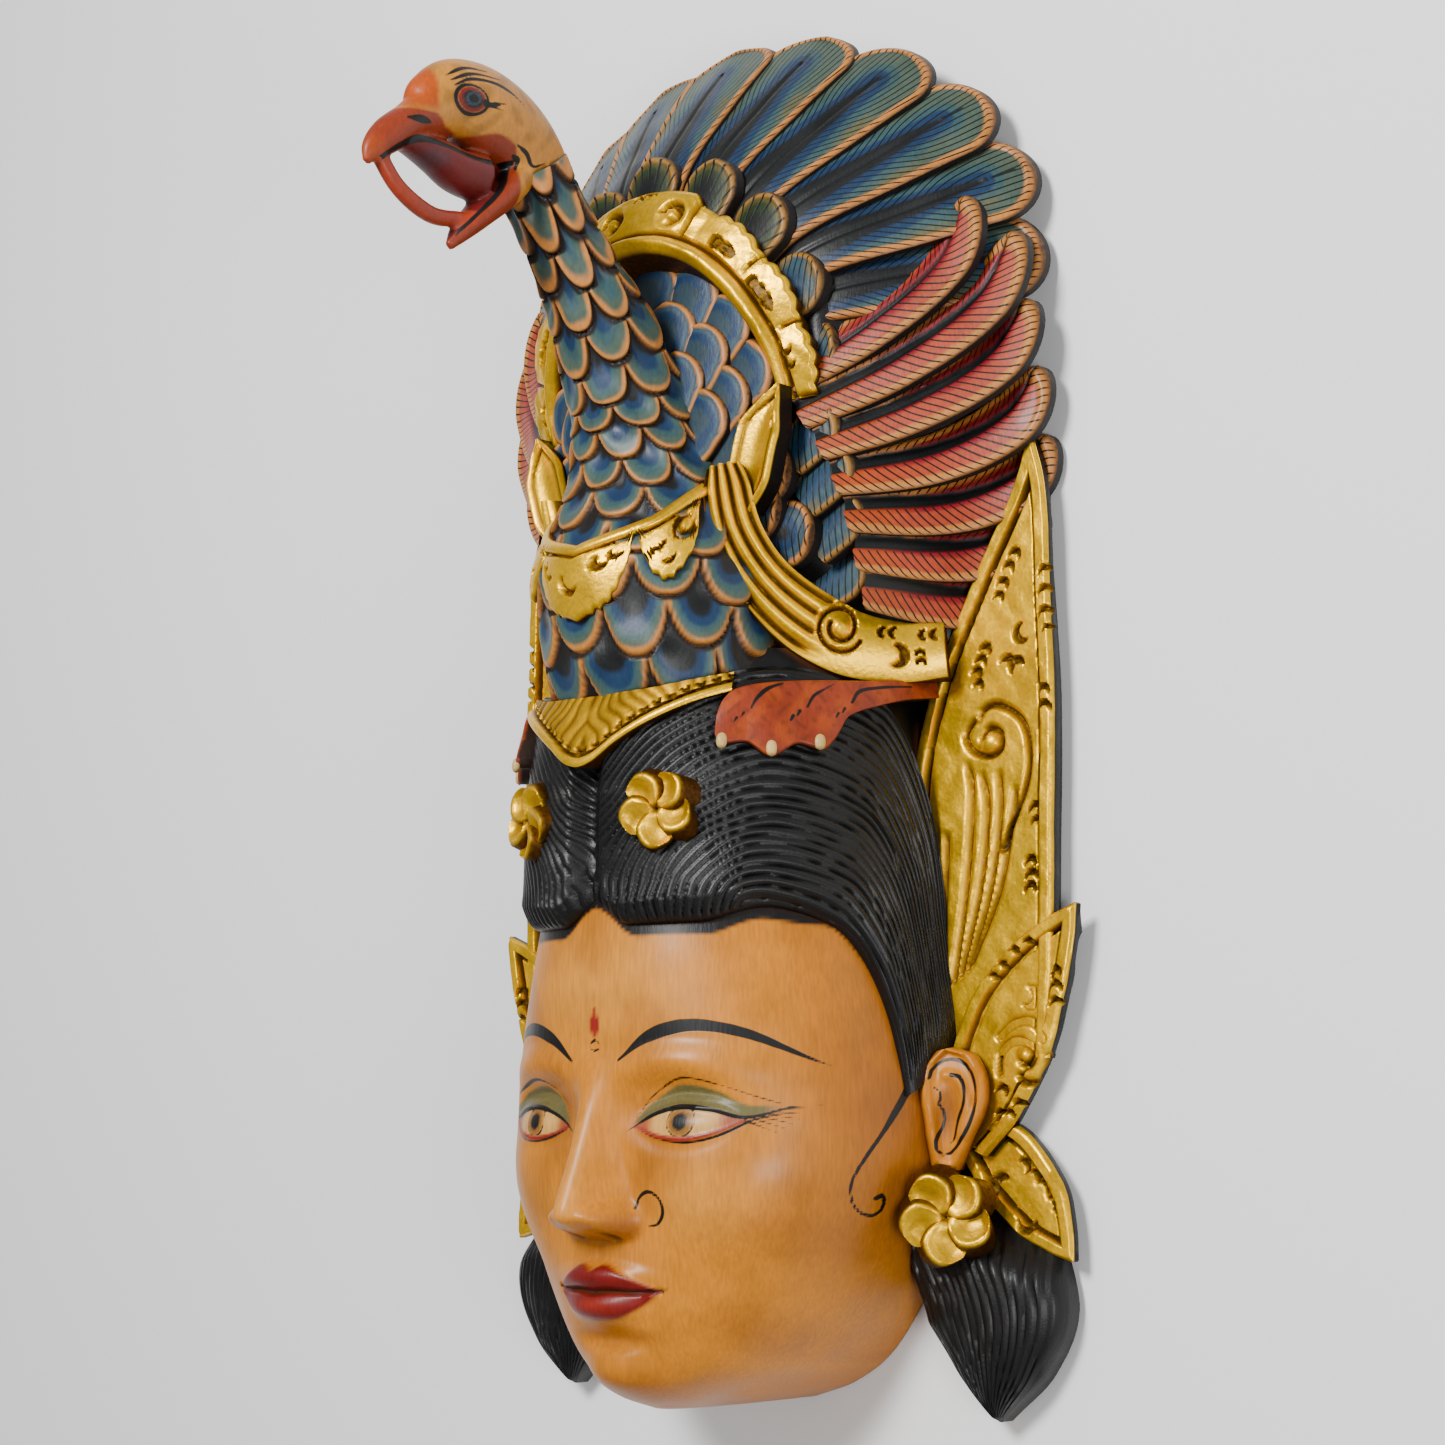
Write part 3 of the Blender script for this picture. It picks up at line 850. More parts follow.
def bird_head():
    points, quads = fused([pipe(rows) for rows in BIRD_TUBES], STEP * 0.85)
    x, y, z = points.T
    a = np.abs(x)
    eye = np.hypot((y - EYE_PLACE[0]) * 1.12, (z - EYE_PLACE[1]) / 1.15)
    points[:, 0] += np.sign(x) * (a > 5) * 1.1 * hill(y, z, *EYE_PLACE, 5.5, 6.5)
    edge = smooth([(145, 400), (149, 421), (153, 428.5), (160, 430.2), (171, 427.8), (180, 428), (187, 431),
                   (198, 431)], z)
    is_beak = np.clip(ramp(y, edge + 0.5, edge - 0.5) * ramp(z, 148.5, 150), 0, 1)
    hand = waver(y * 0.3, z * 0.3)
    paint = over(np.broadcast_to(hue("#B07426"), points.shape), hue("#7E5410"), 0.6 * ramp(hand, 0, 1))
    paint = over(paint, BRICK, is_beak)
    paint = over(paint, hue("#7A2A10"), 0.5 * is_beak * ramp(hand, -0.2, 0.8))
    paint = over(paint, ORANGE, ramp(y, 430, 434) * ramp(z, 184.5, 186.5) * (1 - is_beak))
    paint = over(paint, ORANGE, 0.6 * hill(z, y, 208, 414, 7, 7))
    upper = [(213, 405), (206, 411.3), (197.7, 418.3), (190.8, 421.8), (182, 421.8), (171, 420.5), (160, 420.6), (151, 423)]
    lower = [(151, 423), (156.4, 412.4), (166.3, 400.8), (179.5, 385.2)]
    top = smooth([(z0, y0) for z0, y0 in upper[::-1]], z)
    bottom = smooth([(z0, y0) for z0, y0 in lower], z)
    mouth = ramp(y, top + 0.5, top - 0.8) * ramp(y, bottom - 0.8, bottom + 0.5) * ramp(z, 151, 153) * ramp(z, 200, 195)
    paint = over(paint, hue("#5A0E0C"), mouth)
    paint = over(paint, hue("#3A2A30"), 0.7 * mouth * hill(z, y, 184, 417, 9, 5))
    ribbon, where = nearest(z, y, [(205, 414), (197, 406), (188, 401), (179, 399), (169, 401)])
    paint = over(paint, hue("#8A2C12"), ramp(ribbon, 4.6, 3.8) * ramp(y, top - 2, top - 4))
    paint = over(paint, hue("#741C16"), ramp(eye, 5.0, 4.4))
    paint = over(paint, COAL, ramp(eye, 3.6, 3.0))
    paint = over(paint, SLATE, bump(eye - 2.1, 0.6))
    strokes = [(upper, [(0, 0.8), (0.4, 2.2), (1, 1.6)]), (lower, [(0, 1.6), (1, 1.0)]),
               ([(197.5, 427), (193, 427.5), (188.5, 427.5)], [(0, 0.6), (0.6, 2.6), (1, 1)])]
    for line in [[(182.4, 445.3), (175.3, 449.5), (166, 450.5)], [(181.5, 443.5), (173.4, 447.6), (161, 448.8)],
                 [(180.5, 441.8), (174.3, 445.4), (164.3, 446.5), (156.9, 444.9), (150.3, 441.5)],
                 [(166.6, 438.6), (163, 439.3), (159.5, 440.1)], [(152, 428.4), (147.3, 426.5), (143.5, 423.3), (139.2, 425.1)],
                 [(151.9, 425.3), (149.1, 423.9), (149.5, 421)]]:
        strokes.append((line, [(0, 0.5), (0.3, 1.5), (1, 0.4)]))
    line = inked(z, y, strokes)
    line = np.minimum(line, np.clip(LINE_EDGE + 0.1 * (np.abs(eye - 5.4) - 0.6), 0, 0.45))
    line = np.minimum(line, inked(z, y, [([(168.4, 438.4), (160.8, 437.6)], [(0, 2.6), (1, 0.5)])]))
    line = np.where(a > 2.0, line, 0.45)
    body("bird_head", points, quads, [], coat(paint, line, 1.0, 0.25 * ramp(eye - 6.0, 1.2, 0)))


def on_chest(angle, y, lift):
    """Place on the bird's chest at an angle round it and a height."""
    return neck_place(smooth([(row[1], row[0]) for row in NECK[:6]], y), angle, lift)


def chest_band():
    """Half-round moulding across the chest, over one broad and two smaller hanging leaves with cut edges."""
    rise = [(0, 0), (0.63, 8.5), (1.0, 17.5), (1.25, 22)]
    drop = [(0, 28), (0.25, 26.5), (0.38, 21), (0.47, 13), (0.51, 5.2), (0.56, 13), (0.66, 23), (0.76, 27), (0.86, 25),
            (0.96, 19), (1.05, 9), (1.1, 5.2), (1.25, 5.2)]

    def top(angle):
        return 298.5 + smooth(rise, np.abs(angle))

    marks = [(-0.30, 13, 300, 1.1), (-0.04, 16, 310, 1.4), (0.24, 11.5, 320, 1.2),
             (0.61, 14.5, 250, 0.7), (0.69, 13, 250, 0.7), (0.77, 20, 250, 0.7), (-0.36, 10, 240, 0.9)]

    def carve(angle, y, share):
        below, side = top(angle) - y, 40 * np.abs(angle)
        mould = ramp(below, 5.0, 4.4)
        cut = bump(below - 5.2, 0.9)
        moons = gouge(40 * angle, below, [(40 * m, r, b, z) for m, r, b, z in marks], 2.6)
        moons = np.maximum(moons, gouge(-40 * angle, below, [(40 * m, r, b, z) for m, r, b, z in marks[4:]], 2.6))
        curl = np.hypot(side - 40 * 0.92, below - 10.5)
        ring = ramp(curl, 5.4, 4.6) * ramp(curl, 2.0, 2.8) * ramp(side - 40 * 0.92 - 0.3 * (below - 10.5), 3.5, 1.0)
        split = bump(side - 40 * 0.51, 1.5) * ramp(below, 4.5, 5.5)
        deep = np.clip(cut + moons + ring + split, 0, 1)
        puff = 2.6 * bump(side, 22) + 2.2 * bump(side - 40 * 0.8, 14)
        lift = 2.6 + 2.0 * mould * (1 - ((below - 2.4) / 2.9) ** 2) + (1 - mould) * puff + 1.2 * bump(curl, 3.2)
        return lift - 2.4 * deep - 1.2 * ramp(share, 0.05, 0) * (1 - mould), gilt(0.95 * deep + 0.5 * ramp(share, 0.04, 0))

    knots = [(k, 298.5 + float(smooth(rise, abs(k))) - float(smooth(drop, abs(k)))
              - (0.7 if i % 2 else -0.7) * (0.12 < abs(k) < 0.5 or 0.6 < abs(k) < 1.02))
             for i, k in enumerate(np.linspace(-1.25, 1.25, 71))]
    patch("chest_band", on_chest, (-1.2, 1.2), knots, [(k, 298.5 + float(smooth(rise, abs(k)))) for k in
                                                       np.linspace(-1.25, 1.25, 41)], carve, 3.0, GILT_WALL)


def collar():
    """Ledge between bird and hair, its rim falling to a point over the parting, its face hatched with small cuts."""
    low = [(0, 220), (0.05, 221), (0.18, 228), (0.31, 234), (0.51, 241), (0.67, 244.8), (0.85, 248)]
    high = [(0, 245.5), (0.25, 246), (0.5, 249), (0.67, 251.5), (0.85, 253)]

    def carve(turn, y, share):
        up, along_rim = y - smooth(low, np.abs(turn)), 100 * np.abs(turn) + 0.6 * y
        rim = ramp(up, 3.4, 2.8)
        nick = gouge((along_rim % 7.0) - 3.5, up, [(0, 6.3, 90, 1)], 2.0)
        hatch = np.abs(np.sin(along_rim * 0.5 + 1.6 * waver(turn * 9, y * 0.16)))
        deep = np.clip(bump(up - 3.9, 0.9) + 0.8 * nick, 0, 1)
        lift = 10.5 + 1.5 * rim * (1 - ((up - 1.4) / 2.2) ** 2 * 0.8) - 1.4 * deep - 0.5 * (1 - hatch) * (1 - rim)
        return lift - 0.03 * np.maximum(up - 4, 0) ** 1.5, gilt(deep + (0.34 + 0.5 * (1 - hatch) ** 2) * (1 - rim))

    mirrored = [[(-k, v) for k, v in rows[:0:-1]] + rows for rows in (low, high)]
    patch("collar", shell, (-0.64, 0.64), *mirrored, carve, -2.0, GILT_WALL)


def petal_leaf():
    def carve(s, t, x, y, w):
        room = w - np.abs(x)
        cut = bump(room - 3.2, 1.0) * ramp(t, 0.05, 0.15) * ramp(t, 0.97, 0.9)
        return 3.4 - 2.6 * bump(s, 0.9) - 1.0 * cut - 1.2 * ramp(room, 1.0, 0), gilt(cut + 0.15 * bump(s, 0.6))

    strip("petal_leaves", [(44, 309, 73), (48.5, 321, 74.5), (53, 336, 74.5), (59.8, 352, 72)],
          [(0, 4), (0.3, 9.5), (0.6, 9.5), (0.85, 4.5), (1, 0.4)], carve, 5, wall=coat(COAL, wax=0.5), rows=0.9)


def drape():
    """Folded cloth in gold: four round folds that run down into a curl, then a plain end with gouge cuts."""
    def carve(s, t, x, y, w):
        flute = np.abs(np.sin(math.pi * (s * 1.9 + 0.3 + 0.5 * t))) ** 0.7
        plain = ramp(t + 0.05 * s, 0.58, 0.7)
        length = y.max()
        across, ahead = x + 3.6, y - 0.655 * length
        curl, way = np.hypot(across, ahead), np.arctan2(across, ahead)
        spiral = np.maximum(bump(curl - 5.6 + 0.6 * way, 1.4), bump(curl - 9.3 + 0.6 * way, 1.2) * (way > 0.2))
        moons = gouge(y - 0.80 * length, x, [(0, -6, 0, 0.9), (4, -6.4, 0, 0.9), (16, -5.6, 0, 0.9), (20, -5.4, 0, 0.9),
                                             (6, 1.5, 180, 1.8), (14, 1.2, 90, 0.8), (14, 4.2, 90, 0.8)], 2.4)
        deep = np.clip((1 - flute) * 1.4 * (1 - plain) * ramp(curl, 8.5, 10.5) + spiral + moons * plain, 0, 1)
        height = 5.0 - 2.6 * s * s - 2.9 * deep + 2.4 * bump(curl, 5.0) + 0.8 * plain
        return height, gilt(0.95 * ramp(deep, 0.2, 0.9) + 0.4 * ramp(w - np.abs(x), 1.2, 0))

    strip("drape", [(42, 324, 82), (43, 300, 76), (50, 280, 64), (63, 265, 45), (76, 261, 29), (88, 262, 17)],
          [(0, 6), (0.08, 8.5), (0.3, 9.5), (0.6, 12), (0.8, 11), (1, 9.5)], carve, 20, wall=GILT_WALL,
          out=[(0.5, 0.0, 0.85), (0.55, 0.1, 0.82), (0.6, 0.2, 0.78), (0.62, 0.1, 0.78), (0.6, 0, 0.8), (0.5, 0, 0.85)],
          rows=0.75, even=True)


def foot():
    """Webbed foot laid round the hair from behind the drape, with three claws and a few brushed lines."""
    low = [(0.59, 229), (0.61, 225.4), (0.70, 226.4), (0.80, 221.5), (0.90, 226.2), (0.985, 224.4), (1.03, 228),
           (1.086, 236.6), (1.2, 241), (1.32, 244.2), (1.45, 246.2)]
    high = [(0.59, 235), (0.61, 241), (0.654, 244.8), (0.75, 247), (0.90, 248.4), (1.13, 249.6), (1.29, 251), (1.45, 252.4)]
    strokes = [([(93, 248), (89, 245.5), (85.5, 243), (83.4, 239)], [(0, 0.6), (0.6, 1.3), (1, 1.0)]),
               ([(75, 247), (70, 245), (66.5, 241.5), (64.8, 238)], [(0, 0.6), (0.6, 1.3), (1, 1.0)]),
               ([(120, 249), (108, 247.5), (101, 245.5), (98.5, 241.5)], [(0, 0.5), (0.6, 1.3), (1, 1.0)])]
    for turn, y in ((81, 237.5), (62.4, 236.4), (96, 239.2)):
        for k in (0, 1):
            strokes.append(([(turn - 2.2 * k, y - 1.8 * k), (turn - 0.8 - 2.2 * k, y - 1.6 - 1.8 * k)], [(0, 1.2), (1, 0.7)]))

    def carve(turn, y, share):
        paint = over(over(BRICK, ORANGE, 0.5 * ramp(waver(turn * 26, y * 0.25), -0.4, 0.8)), BROWN,
                     0.35 * ramp(waver(turn * 60 + 2, y * 0.6), 0.2, 1))
        toes = 0.9 * np.abs(np.cos(math.pi * (turn - 0.61) / 0.19)) * ramp(turn, 1.15, 1.0) * ramp(share, 0.9, 0.2)
        lift = 12.4 + toes + 1.6 * ramp(turn, 1.0, 1.4) - 0.8 * (ramp(share, 0.03, 0) + ramp(share, 0.97, 1))
        return lift, coat(paint, inked(90 * turn, y, strokes), 1.0, 0.3 * ramp(share, 0.05, 0))

    patch("feet", shell, (0.592, 1.45), low, high, carve, -5.0, coat(BROWN, wax=0.5))
    for turn, y in ((0.618, 227.0), (0.80, 224.6), (0.975, 227.4)):
        ahead = np.linspace(-1, 1, 9)[:, None]
        around = np.linspace(-math.pi, math.pi, 17)[None, :-1]
        thick = np.sqrt(1.001 - ahead ** 2)
        claw = shell(turn + 0.021 * thick * np.sin(around), y - 0.4 + 3.0 * ahead, 12.8 + 1.7 * thick * np.cos(around))
        turned("claws", claw, coat(over(BONE, BROWN, 0.6 * ramp(ahead + 0 * around, -0.5, -1))))


def flower(centre, facing, radius):
    """Five round petals, each tilted so that one side lies over its neighbour."""
    facing = unit(np.asarray(facing, float))
    east = unit(np.cross((0, 1, 0), facing))
    north = np.cross(facing, east)
    centre = np.asarray(centre, float)

    def carve(s, t, x, y, w):
        room = w - np.abs(x)
        dish = bump(s - 0.1, 0.75) * ramp(t, 0.1, 0.5) * ramp(t, 1.0, 0.8)
        height = 4.2 - 1.8 * s * s - 1.7 * dish + 0.7 * bump(room - 1.3, 1.5) - 2.0 * ramp(t, 0.22, 0.0)
        return height, gilt(0.35 * dish + 0.9 * ramp(room, 1.1, 0.2) + 0.9 * ramp(t, 0.16, 0.04))

    for k in range(5):
        a = 2 * math.pi * k / 5 + 0.35
        way = east * math.sin(a) + north * math.cos(a)
        turn = east * math.cos(a) - north * math.sin(a)
        strip("flowers", [centre + way * radius * 0.04, centre + way * radius * 0.55 + turn * radius * 0.2,
                          centre + way * radius], lambda t: feather_edge(t, radius * 0.6, 0.22, 0.46), carve, 7,
              out=facing - 0.42 * turn, wall=GILT_WALL, rows=0.8)


def lock():
    """Carved lock of hair that comes out from under the lowest leaf and the flower."""
    points = [(78, 78, 0), (92, 60, 0), (101, 36, 0), (101, 0, 0)]

    def carve(s, t, x, y, w):
        px, py = frame_of(points)(x, t)
        round_top = np.sqrt(np.clip(1 - s * s, 0, 1)) * np.sqrt(np.clip(1 - t ** 3, 0, 1))
        under_leaf = ramp(py + 0.35 * (px - 95), 74, 54)
        row = s * 9 + 0.8 * np.sin(t * 3) + 0.15 * waver(s * 5, t * 9)
        cut = np.abs(np.sin(math.pi * row)) ** 0.6
        return 5 + (4 + 15 * round_top) * under_leaf + (1.5 * cut - 1.1) * ramp(1 - np.abs(s), 0, 0.1), coat(
            over(HAIR, BLACK, ramp(cut, 0.5, 0.1)), row * 3, 0.35)

    strip("side_locks", points, [(0, 18), (0.25, 29), (0.55, 29), (0.8, 18), (1, 0.5)], carve, 0.0, wall=coat(BLACK),
          edge=3.0)


def ear():
    def carve(s, t, x, y, w):
        room = np.minimum(w - np.abs(x), y + 1)
        bowl = hill(x, y, -1.5, 20, 5.5, 15)
        inner = bump(nearest(x, y, [(3.5, 12), (4.5, 22), (1.5, 31), (-2, 33)])[0], 2.6)
        height = 1.5 + 2.6 * bump(room - 2.6, 3.0) - 2.4 * bowl + 1.4 * inner
        paint = over(np.broadcast_to(SKIN, x.shape + (3,)), SKIN_SHADE, 0.6 * bowl + 0.5 * ramp(room, 1.5, 0))
        line = inked(x, y, [
            ([(-7.5, 33), (-5.5, 36.5), (0, 38), (5, 35.5), (7.6, 28), (7, 19), (4, 10), (0, 4.5), (-3.2, 5.5), (-4, 10),
              (-2.6, 14), (-2.8, 19), (-5.2, 22), (-4.2, 25.5), (-6.6, 29)], [(0, 1.0), (0.5, 1.3), (1, 0.9)]),
            ([(0, 32.5), (2.8, 31), (3.8, 25), (2.2, 17), (2.0, 11), (0.4, 8.5)], [(0, 1.6), (0.5, 1.1), (1, 0.7)])])
        return height, coat(paint, line, 1.0, 0.4 * bowl + 0.5 * ramp(w - np.abs(x), 1.2, 0))

    strip("ears", [(86, 84, 18), (89, 94, 20), (92, 110, 21), (88, 124, 20)],
          [(0, 5), (0.3, 8.5), (0.65, 12), (0.88, 10), (1, 3)], carve, 14, out=(0.5, 0.0, 0.86),
          wall=coat(SKIN_SHADE, wax=0.4), rows=0.9)


BLOCK = [(0, 130, 25), (29, 134, 21), (47, 133, 18), (60, 126, 15), (70, 119, 12), (80, 114, 12), (93, 112, 12),
         (104, 113, 12), (118, 110, 11), (129, 122, 9), (138, 138, 9), (147, 132, 20), (163, 106, 30), (180, 102, 40)]


def block():
    """Plain black block behind feathers, scales and arch."""
    angle = np.linspace(-math.pi, math.pi, 181)[:-1]
    row = smooth(BLOCK, np.abs(np.degrees(angle)))
    high = 58 + 5 * np.cos(angle)
    rings = []
    for share in [1.0, 1.0, *np.linspace(0.985, 0.05, 46)]:
        reach = row[:, 0] * share * 0.95
        z = high + (0.62 - share) * 18
        if share > 0.62:
            z = row[:, 1] - 4 + (high - row[:, 1] + 4) * (1 - (share - 0.62) / 0.38)
        z = z + 0.5 * waver(angle * 12, share * 20) * (share < 1)
        rings.append(np.stack([reach * np.sin(angle), ARCH_Y + reach * np.cos(angle), z], -1))
    rings[0][:, :2] = [0, ARCH_Y] + 0.9 * (rings[0][:, :2] - [0, ARCH_Y])
    rings[0][:, 2] = 0
    rings = np.array(rings)
    turned("block", rings, coat(BLACK, wax=0.2 * np.ones(rings.shape[:2])))


def carving():
    head()
    neck()
    bird_head()
    block()
    arch()
    chest_band()
    collar()
    coverts()
    back_scales()
    for k in range(-5, 6):
        blue_feather(19 * k, abs(k))

    def right_side():
        hair()
        for k in range(len(RED_TIPS)):
            red_feather(k)
        leaves()
        lock()
        ear()
        flower((94, 68, 28), (0.45, 0, 0.89), 14.5)
        flower((30, 204, 101), (0.3, 0, 0.95), 12.5)
        petal_leaf()
        drape()
        foot()

    both(right_side)


def add(tree, kind, fill=(), **settings):
    """Add a node with its settings, and fill each of its inputs with a value or a link."""
    node = tree.nodes.new(kind)
    for name, value in settings.items():
        setattr(node, name, value)
    for name, value in dict(fill).items():
        if isinstance(value, bpy.types.NodeSocket):
            tree.links.new(value, node.inputs[name])
        else:
            node.inputs[name].default_value = value
    return node.outputs


def finish(name, rough, metal, coat_much, wax_colour, grain, relief, drawn=1.0):
    """Brushed or gilt surface: the painter's colours, uneven by hand, ink lines, wax in the cuts, fine relief."""
    made = bpy.data.materials.new(name)
    made.use_nodes = True
    tree = made.node_tree
    shader = tree.nodes["Principled BSDF"]
    shader.inputs["Metallic"].default_value = metal
    shader.inputs["Coat Weight"].default_value = coat_much
    shader.inputs["Coat Roughness"].default_value = 0.22
    shader.inputs["Specular IOR Level"].default_value = 0.3
    spot = add(tree, "ShaderNodeTexCoord")["Object"]
    paint = add(tree, "ShaderNodeAttribute", attribute_name="paint")["Color"]
    marks = add(tree, "ShaderNodeSeparateXYZ", {0: add(tree, "ShaderNodeAttribute", attribute_name="marks")["Vector"]})
    cloud = add(tree, "ShaderNodeTexNoise", {"Vector": spot, "Scale": 1 / 0.016, "Detail": 3.0})["Fac"]
    pulled = add(tree, "ShaderNodeVectorMath", {0: spot, 1: (1.0, drawn, 1.0)}, operation="MULTIPLY")[0]
    speck = add(tree, "ShaderNodeTexNoise", {"Vector": pulled, "Scale": 1 / grain, "Detail": 5.0})["Fac"]
    fleck = add(tree, "ShaderNodeTexNoise", {"Vector": spot, "Scale": 1 / 0.0016, "Detail": 2.0})["Fac"]
    # Thin lines where the place along the row is near a whole number, a little shaken by the hand
    shake = add(tree, "ShaderNodeMath", {0: cloud, 1: SHAKE, 2: marks[0]}, operation="MULTIPLY_ADD")[0]
    part = add(tree, "ShaderNodeMath", {0: shake, 1: 0.5}, operation="PINGPONG")[0]
    line = add(tree, "ShaderNodeMapRange", {0: part, 1: LINE_EDGE + 0.015, 2: LINE_EDGE - 0.015})[0]
    line = add(tree, "ShaderNodeMath", {0: line, 1: marks[1]}, operation="MULTIPLY")[0]
    tone = add(tree, "ShaderNodeMapRange", {0: cloud, 1: 0.3, 2: 0.7, 3: 0.86, 4: 1.12})[0]
    tone = add(tree, "ShaderNodeMath", {0: tone, 1: add(tree, "ShaderNodeMapRange", {
        0: speck, 1: 0.3, 2: 0.7, 3: 0.86, 4: 1.12})[0]}, operation="MULTIPLY")[0]
    colour = add(tree, "ShaderNodeVectorMath", {0: paint, 3: tone}, operation="SCALE")[0]
    hollow = add(tree, "ShaderNodeMapRange", {0: fleck, 1: 0.3, 2: 0.7, 3: 0.72, 4: 1.0})[0]
    hollow = add(tree, "ShaderNodeMath", {0: hollow, 1: marks[2]}, operation="MULTIPLY")[0]
    shade = add(tree, "ShaderNodeAmbientOcclusion", {"Distance": 0.004}, samples=4)["AO"]
    shade = add(tree, "ShaderNodeMapRange", {0: shade, 1: 0.70, 2: 0.25, 3: 0.0, 4: 0.75})[0]
    hollow = add(tree, "ShaderNodeMath", {0: hollow, 1: shade}, operation="MAXIMUM")[0]
    colour = add(tree, "ShaderNodeMix", {0: hollow, 6: colour, 7: (*wax_colour, 1)}, data_type="RGBA")[2]
    colour = add(tree, "ShaderNodeMix", {0: line, 6: colour, 7: (*BLACK, 1)}, data_type="RGBA")[2]
    tree.links.new(colour, shader.inputs["Base Color"])
    dull = add(tree, "ShaderNodeMapRange", {0: cloud, 1: 0.3, 2: 0.7, 3: rough - 0.07, 4: rough + 0.09})[0]
    dull = add(tree, "ShaderNodeMath", {0: hollow, 1: 0.3, 2: dull}, operation="MULTIPLY_ADD")[0]
    tree.links.new(dull, shader.inputs["Roughness"])
    rise = add(tree, "ShaderNodeMath", {0: line, 1: -0.5, 2: speck}, operation="MULTIPLY_ADD")[0]
    tree.links.new(add(tree, "ShaderNodeBump", {"Height": rise, "Distance": relief, "Strength": 1.0})[0],
                   shader.inputs["Normal"])
    return made


def mesh_piece(name, parts, material):
    """One object from its closed bodies, with the painter's colours and marks on its points."""
    starts = np.cumsum([0] + [len(p[1]) for p in parts])
    verts = np.concatenate([p[1] for p in parts])
    skin = np.concatenate([p[4] for p in parts])
    quads = np.concatenate([p[2] + s for p, s in zip(parts, starts)])
    ends = [np.array(e) + s for p, s in zip(parts, starts) for e in p[3]]
    corners = np.concatenate([quads.ravel(), *ends]) if ends else quads.ravel()
    sizes = np.array([4] * len(quads) + [len(e) for e in ends])
    mesh = bpy.data.meshes.new(name)
    mesh.vertices.add(len(verts))
    mesh.vertices.foreach_set("co", ((verts - [0, HALF_HEIGHT, 0]) * MM).ravel())
    mesh.loops.add(len(corners))
    mesh.loops.foreach_set("vertex_index", corners)
    mesh.polygons.add(len(sizes))
    mesh.polygons.foreach_set("loop_start", np.concatenate([[0], np.cumsum(sizes)[:-1]]))
    mesh.polygons.foreach_set("use_smooth", np.ones(len(sizes), bool))
    mesh.update(calc_edges=True)
    if name != "bird_neck":
        mesh.set_sharp_from_angle(angle=math.radians(50))
    paint = mesh.attributes.new("paint", "FLOAT_COLOR", "POINT")
    paint.data.foreach_set("color", np.concatenate([skin[:, :3], np.ones((len(skin), 1))], 1).ravel())
    marks = mesh.attributes.new("marks", "FLOAT_VECTOR", "POINT")
    marks.data.foreach_set("vector", skin[:, 3:].ravel())
    mesh.materials.append(material)
    piece = bpy.data.objects.new(name, mesh)
    bpy.context.scene.collection.objects.link(piece)
    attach(piece, "root")
    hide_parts("mask")
    print(name, sum(sizes - 2), "triangles")


# Brushed gouache on hibiscus wood under a thin varnish: even colour, soft gloss, wood grain just showing
GOUACHE = finish("brushed_gouache", 0.45, 0.0, 0.06, BROWN * 0.3, 0.0011, 0.00012, 0.4)
# Gold leaf laid over ochre and rubbed with dark wax: bright on the high places, brown in the cuts
GOLD_LEAF = finish("waxed_gold_leaf", 0.36, 0.8, 0.05, GOLD_DARK * 0.4, 0.0016, 0.00016)
# Black satin lacquer over carved hair: deep, with a long soft shine along the ridges
LACQUER = finish("black_satin_lacquer", 0.42, 0.0, 0.05, BLACK, 0.0009, 0.00012)
# Ochre lacquer rubbed over the wood of the face: glossy, with brush marks and grain showing
FACE_LACQUER = finish("ochre_face_lacquer", 0.44, 0.0, 0.12, SKIN_SHADE * 0.5, 0.0011, 0.00012, 0.12)
FINISHES = {"gilt_arch": GOLD_LEAF, "tall_leaves": GOLD_LEAF, "side_leaves": GOLD_LEAF, "chest_band": GOLD_LEAF,
            "collar": GOLD_LEAF, "petal_leaves": GOLD_LEAF, "drape": GOLD_LEAF, "flowers": GOLD_LEAF,
            "hair": LACQUER, "side_locks": LACQUER, "block": LACQUER, "face": FACE_LACQUER, "ears": FACE_LACQUER}

carving()
for name in dict.fromkeys(b[0] for b in bodies):
    mesh_piece(name, [b for b in bodies if b[0] == name], FINISHES.get(name, GOUACHE))


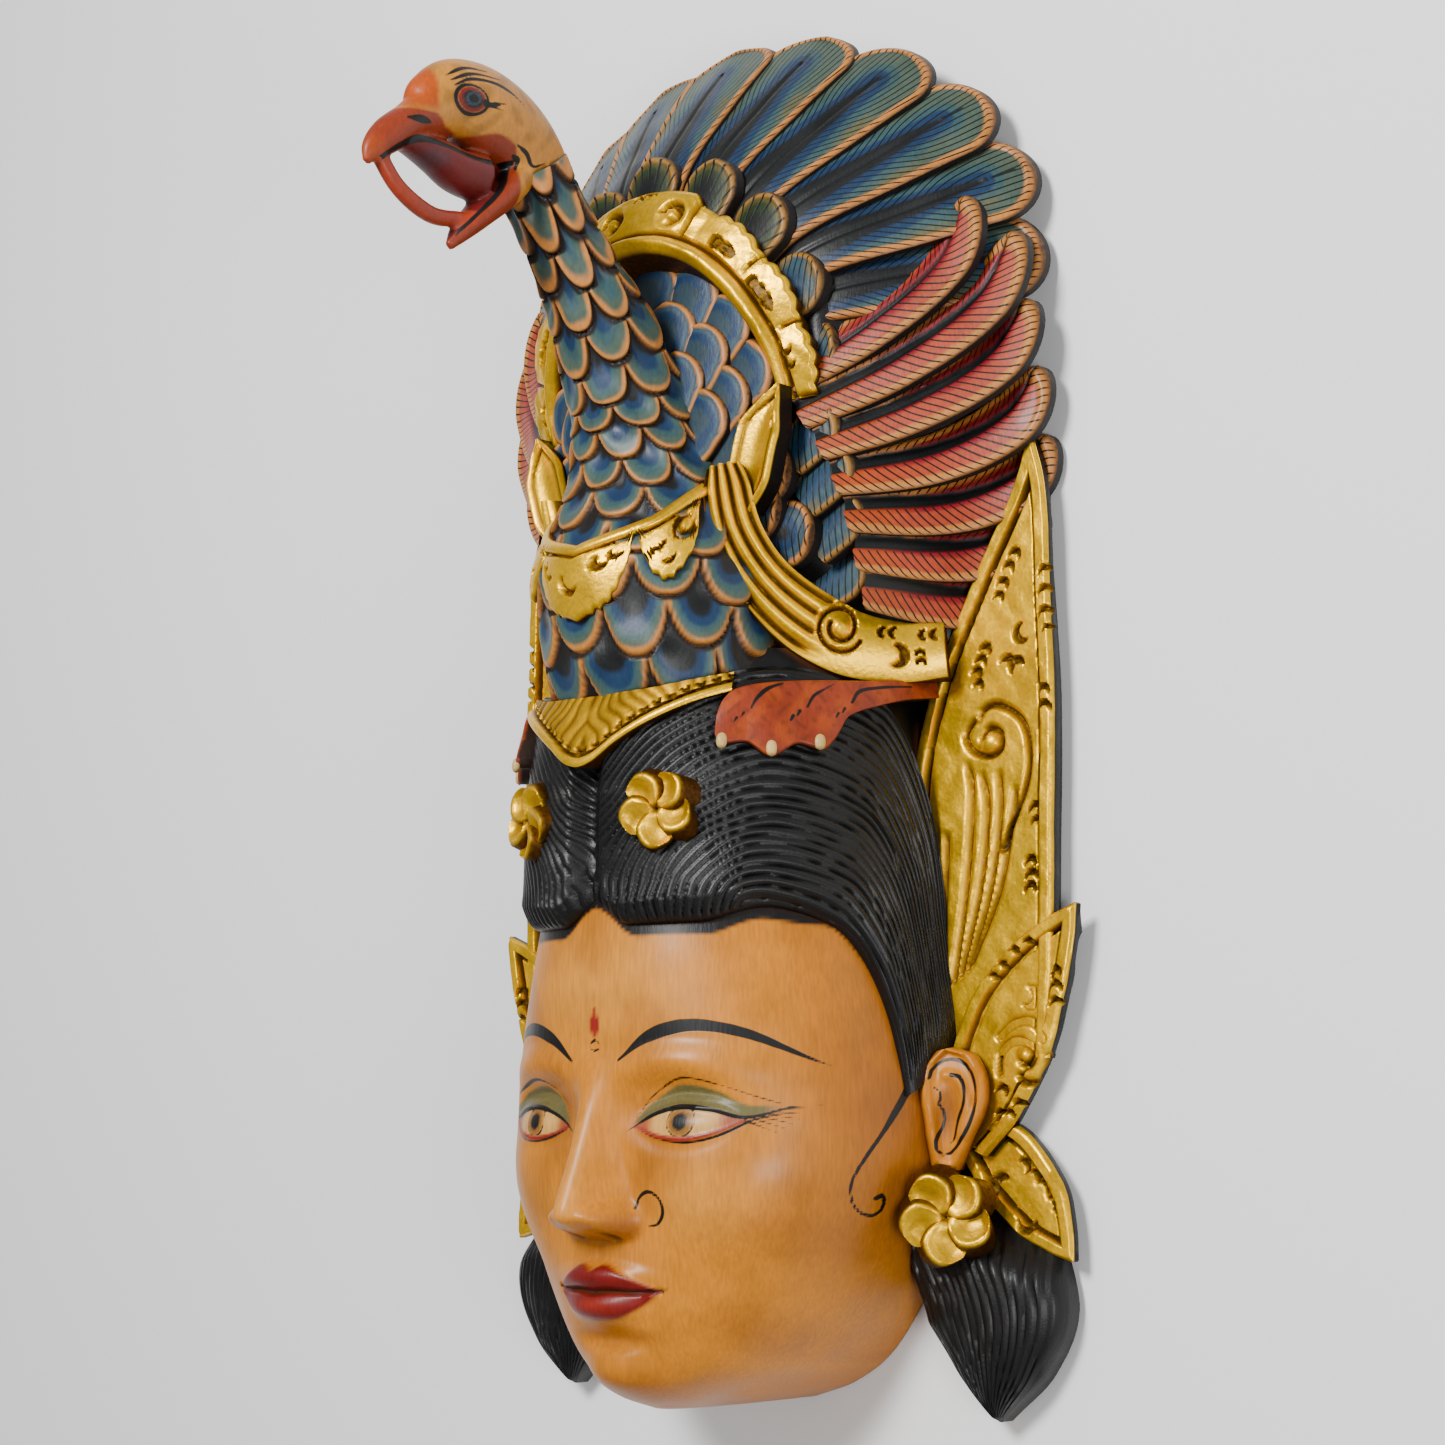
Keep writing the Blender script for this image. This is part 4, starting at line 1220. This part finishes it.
def floor_and_light():
    """Pale floor under the mask, a wide soft light from the camera's upper left, a weaker one from the right."""
    mesh = bpy.data.meshes.new("floor")
    mesh.from_pydata([(-4, -4, -0.0005), (4, -4, -0.0005), (4, 4, -0.0005), (-4, 4, -0.0005)], [], [(0, 1, 2, 3)])
    floor = bpy.data.objects.new("floor", mesh)
    bpy.context.scene.collection.objects.link(floor)
    pale = bpy.data.materials.new("pale_floor")
    pale.use_nodes = True
    pale.node_tree.nodes["Principled BSDF"].inputs["Base Color"].default_value = (0.86, 0.86, 0.86, 1)
    pale.node_tree.nodes["Principled BSDF"].inputs["Roughness"].default_value = 0.9
    mesh.materials.append(pale)
    world = bpy.data.worlds.new("studio")
    bpy.context.scene.world = world
    world.use_nodes = True
    world.node_tree.nodes["Background"].inputs["Color"].default_value = (1, 1, 1, 1)
    world.node_tree.nodes["Background"].inputs["Strength"].default_value = 0.36
    for name, place, size, power in [("key", (0.15, 0.55, 1.35), 0.4, 30.0), ("fill", (1.2, -0.35, 0.8), 0.4, 10.0)]:
        lamp = bpy.data.lights.new(name, "AREA")
        lamp.size, lamp.energy = size, power
        made = bpy.data.objects.new(name, lamp)
        bpy.context.scene.collection.objects.link(made)
        z = np.array(place) / np.linalg.norm(place)
        x = unit(np.cross((0, 1, 0), z))
        y = np.cross(z, x)
        made.matrix_world = Matrix([(*row, p) for row, p in zip(np.stack([x, y, z], 1), place)] + [(0, 0, 0, 1)])


def photo_camera():
    """Camera at the photograph's viewing angle, to the mask's right and level with its chin, looking down on it."""
    turn, tip = math.radians(42.3), math.radians(8.0)
    right = np.array([math.cos(turn), 0, -math.sin(turn)])
    level = np.array([-math.sin(turn), 0, -math.cos(turn)])
    ahead = math.cos(tip) * level + math.sin(tip) * np.array([0, 1, 0])
    up = math.cos(tip) * np.array([0, 1, 0]) - math.sin(tip) * level
    camera = bpy.data.objects.new("camera", bpy.data.cameras.new("camera"))
    bpy.context.scene.collection.objects.link(camera)
    place = (0.671, 0.103 - 0.25, 0.774)
    camera.matrix_world = Matrix([(*row, p) for row, p in zip(np.stack([right, up, -ahead], 1), place)] + [(0, 0, 0, 1)])
    camera.data.lens = 36 * 2767 / 1445
    camera.data.clip_start = 0.01
    bpy.context.scene.camera = camera


floor_and_light()
photo_camera()
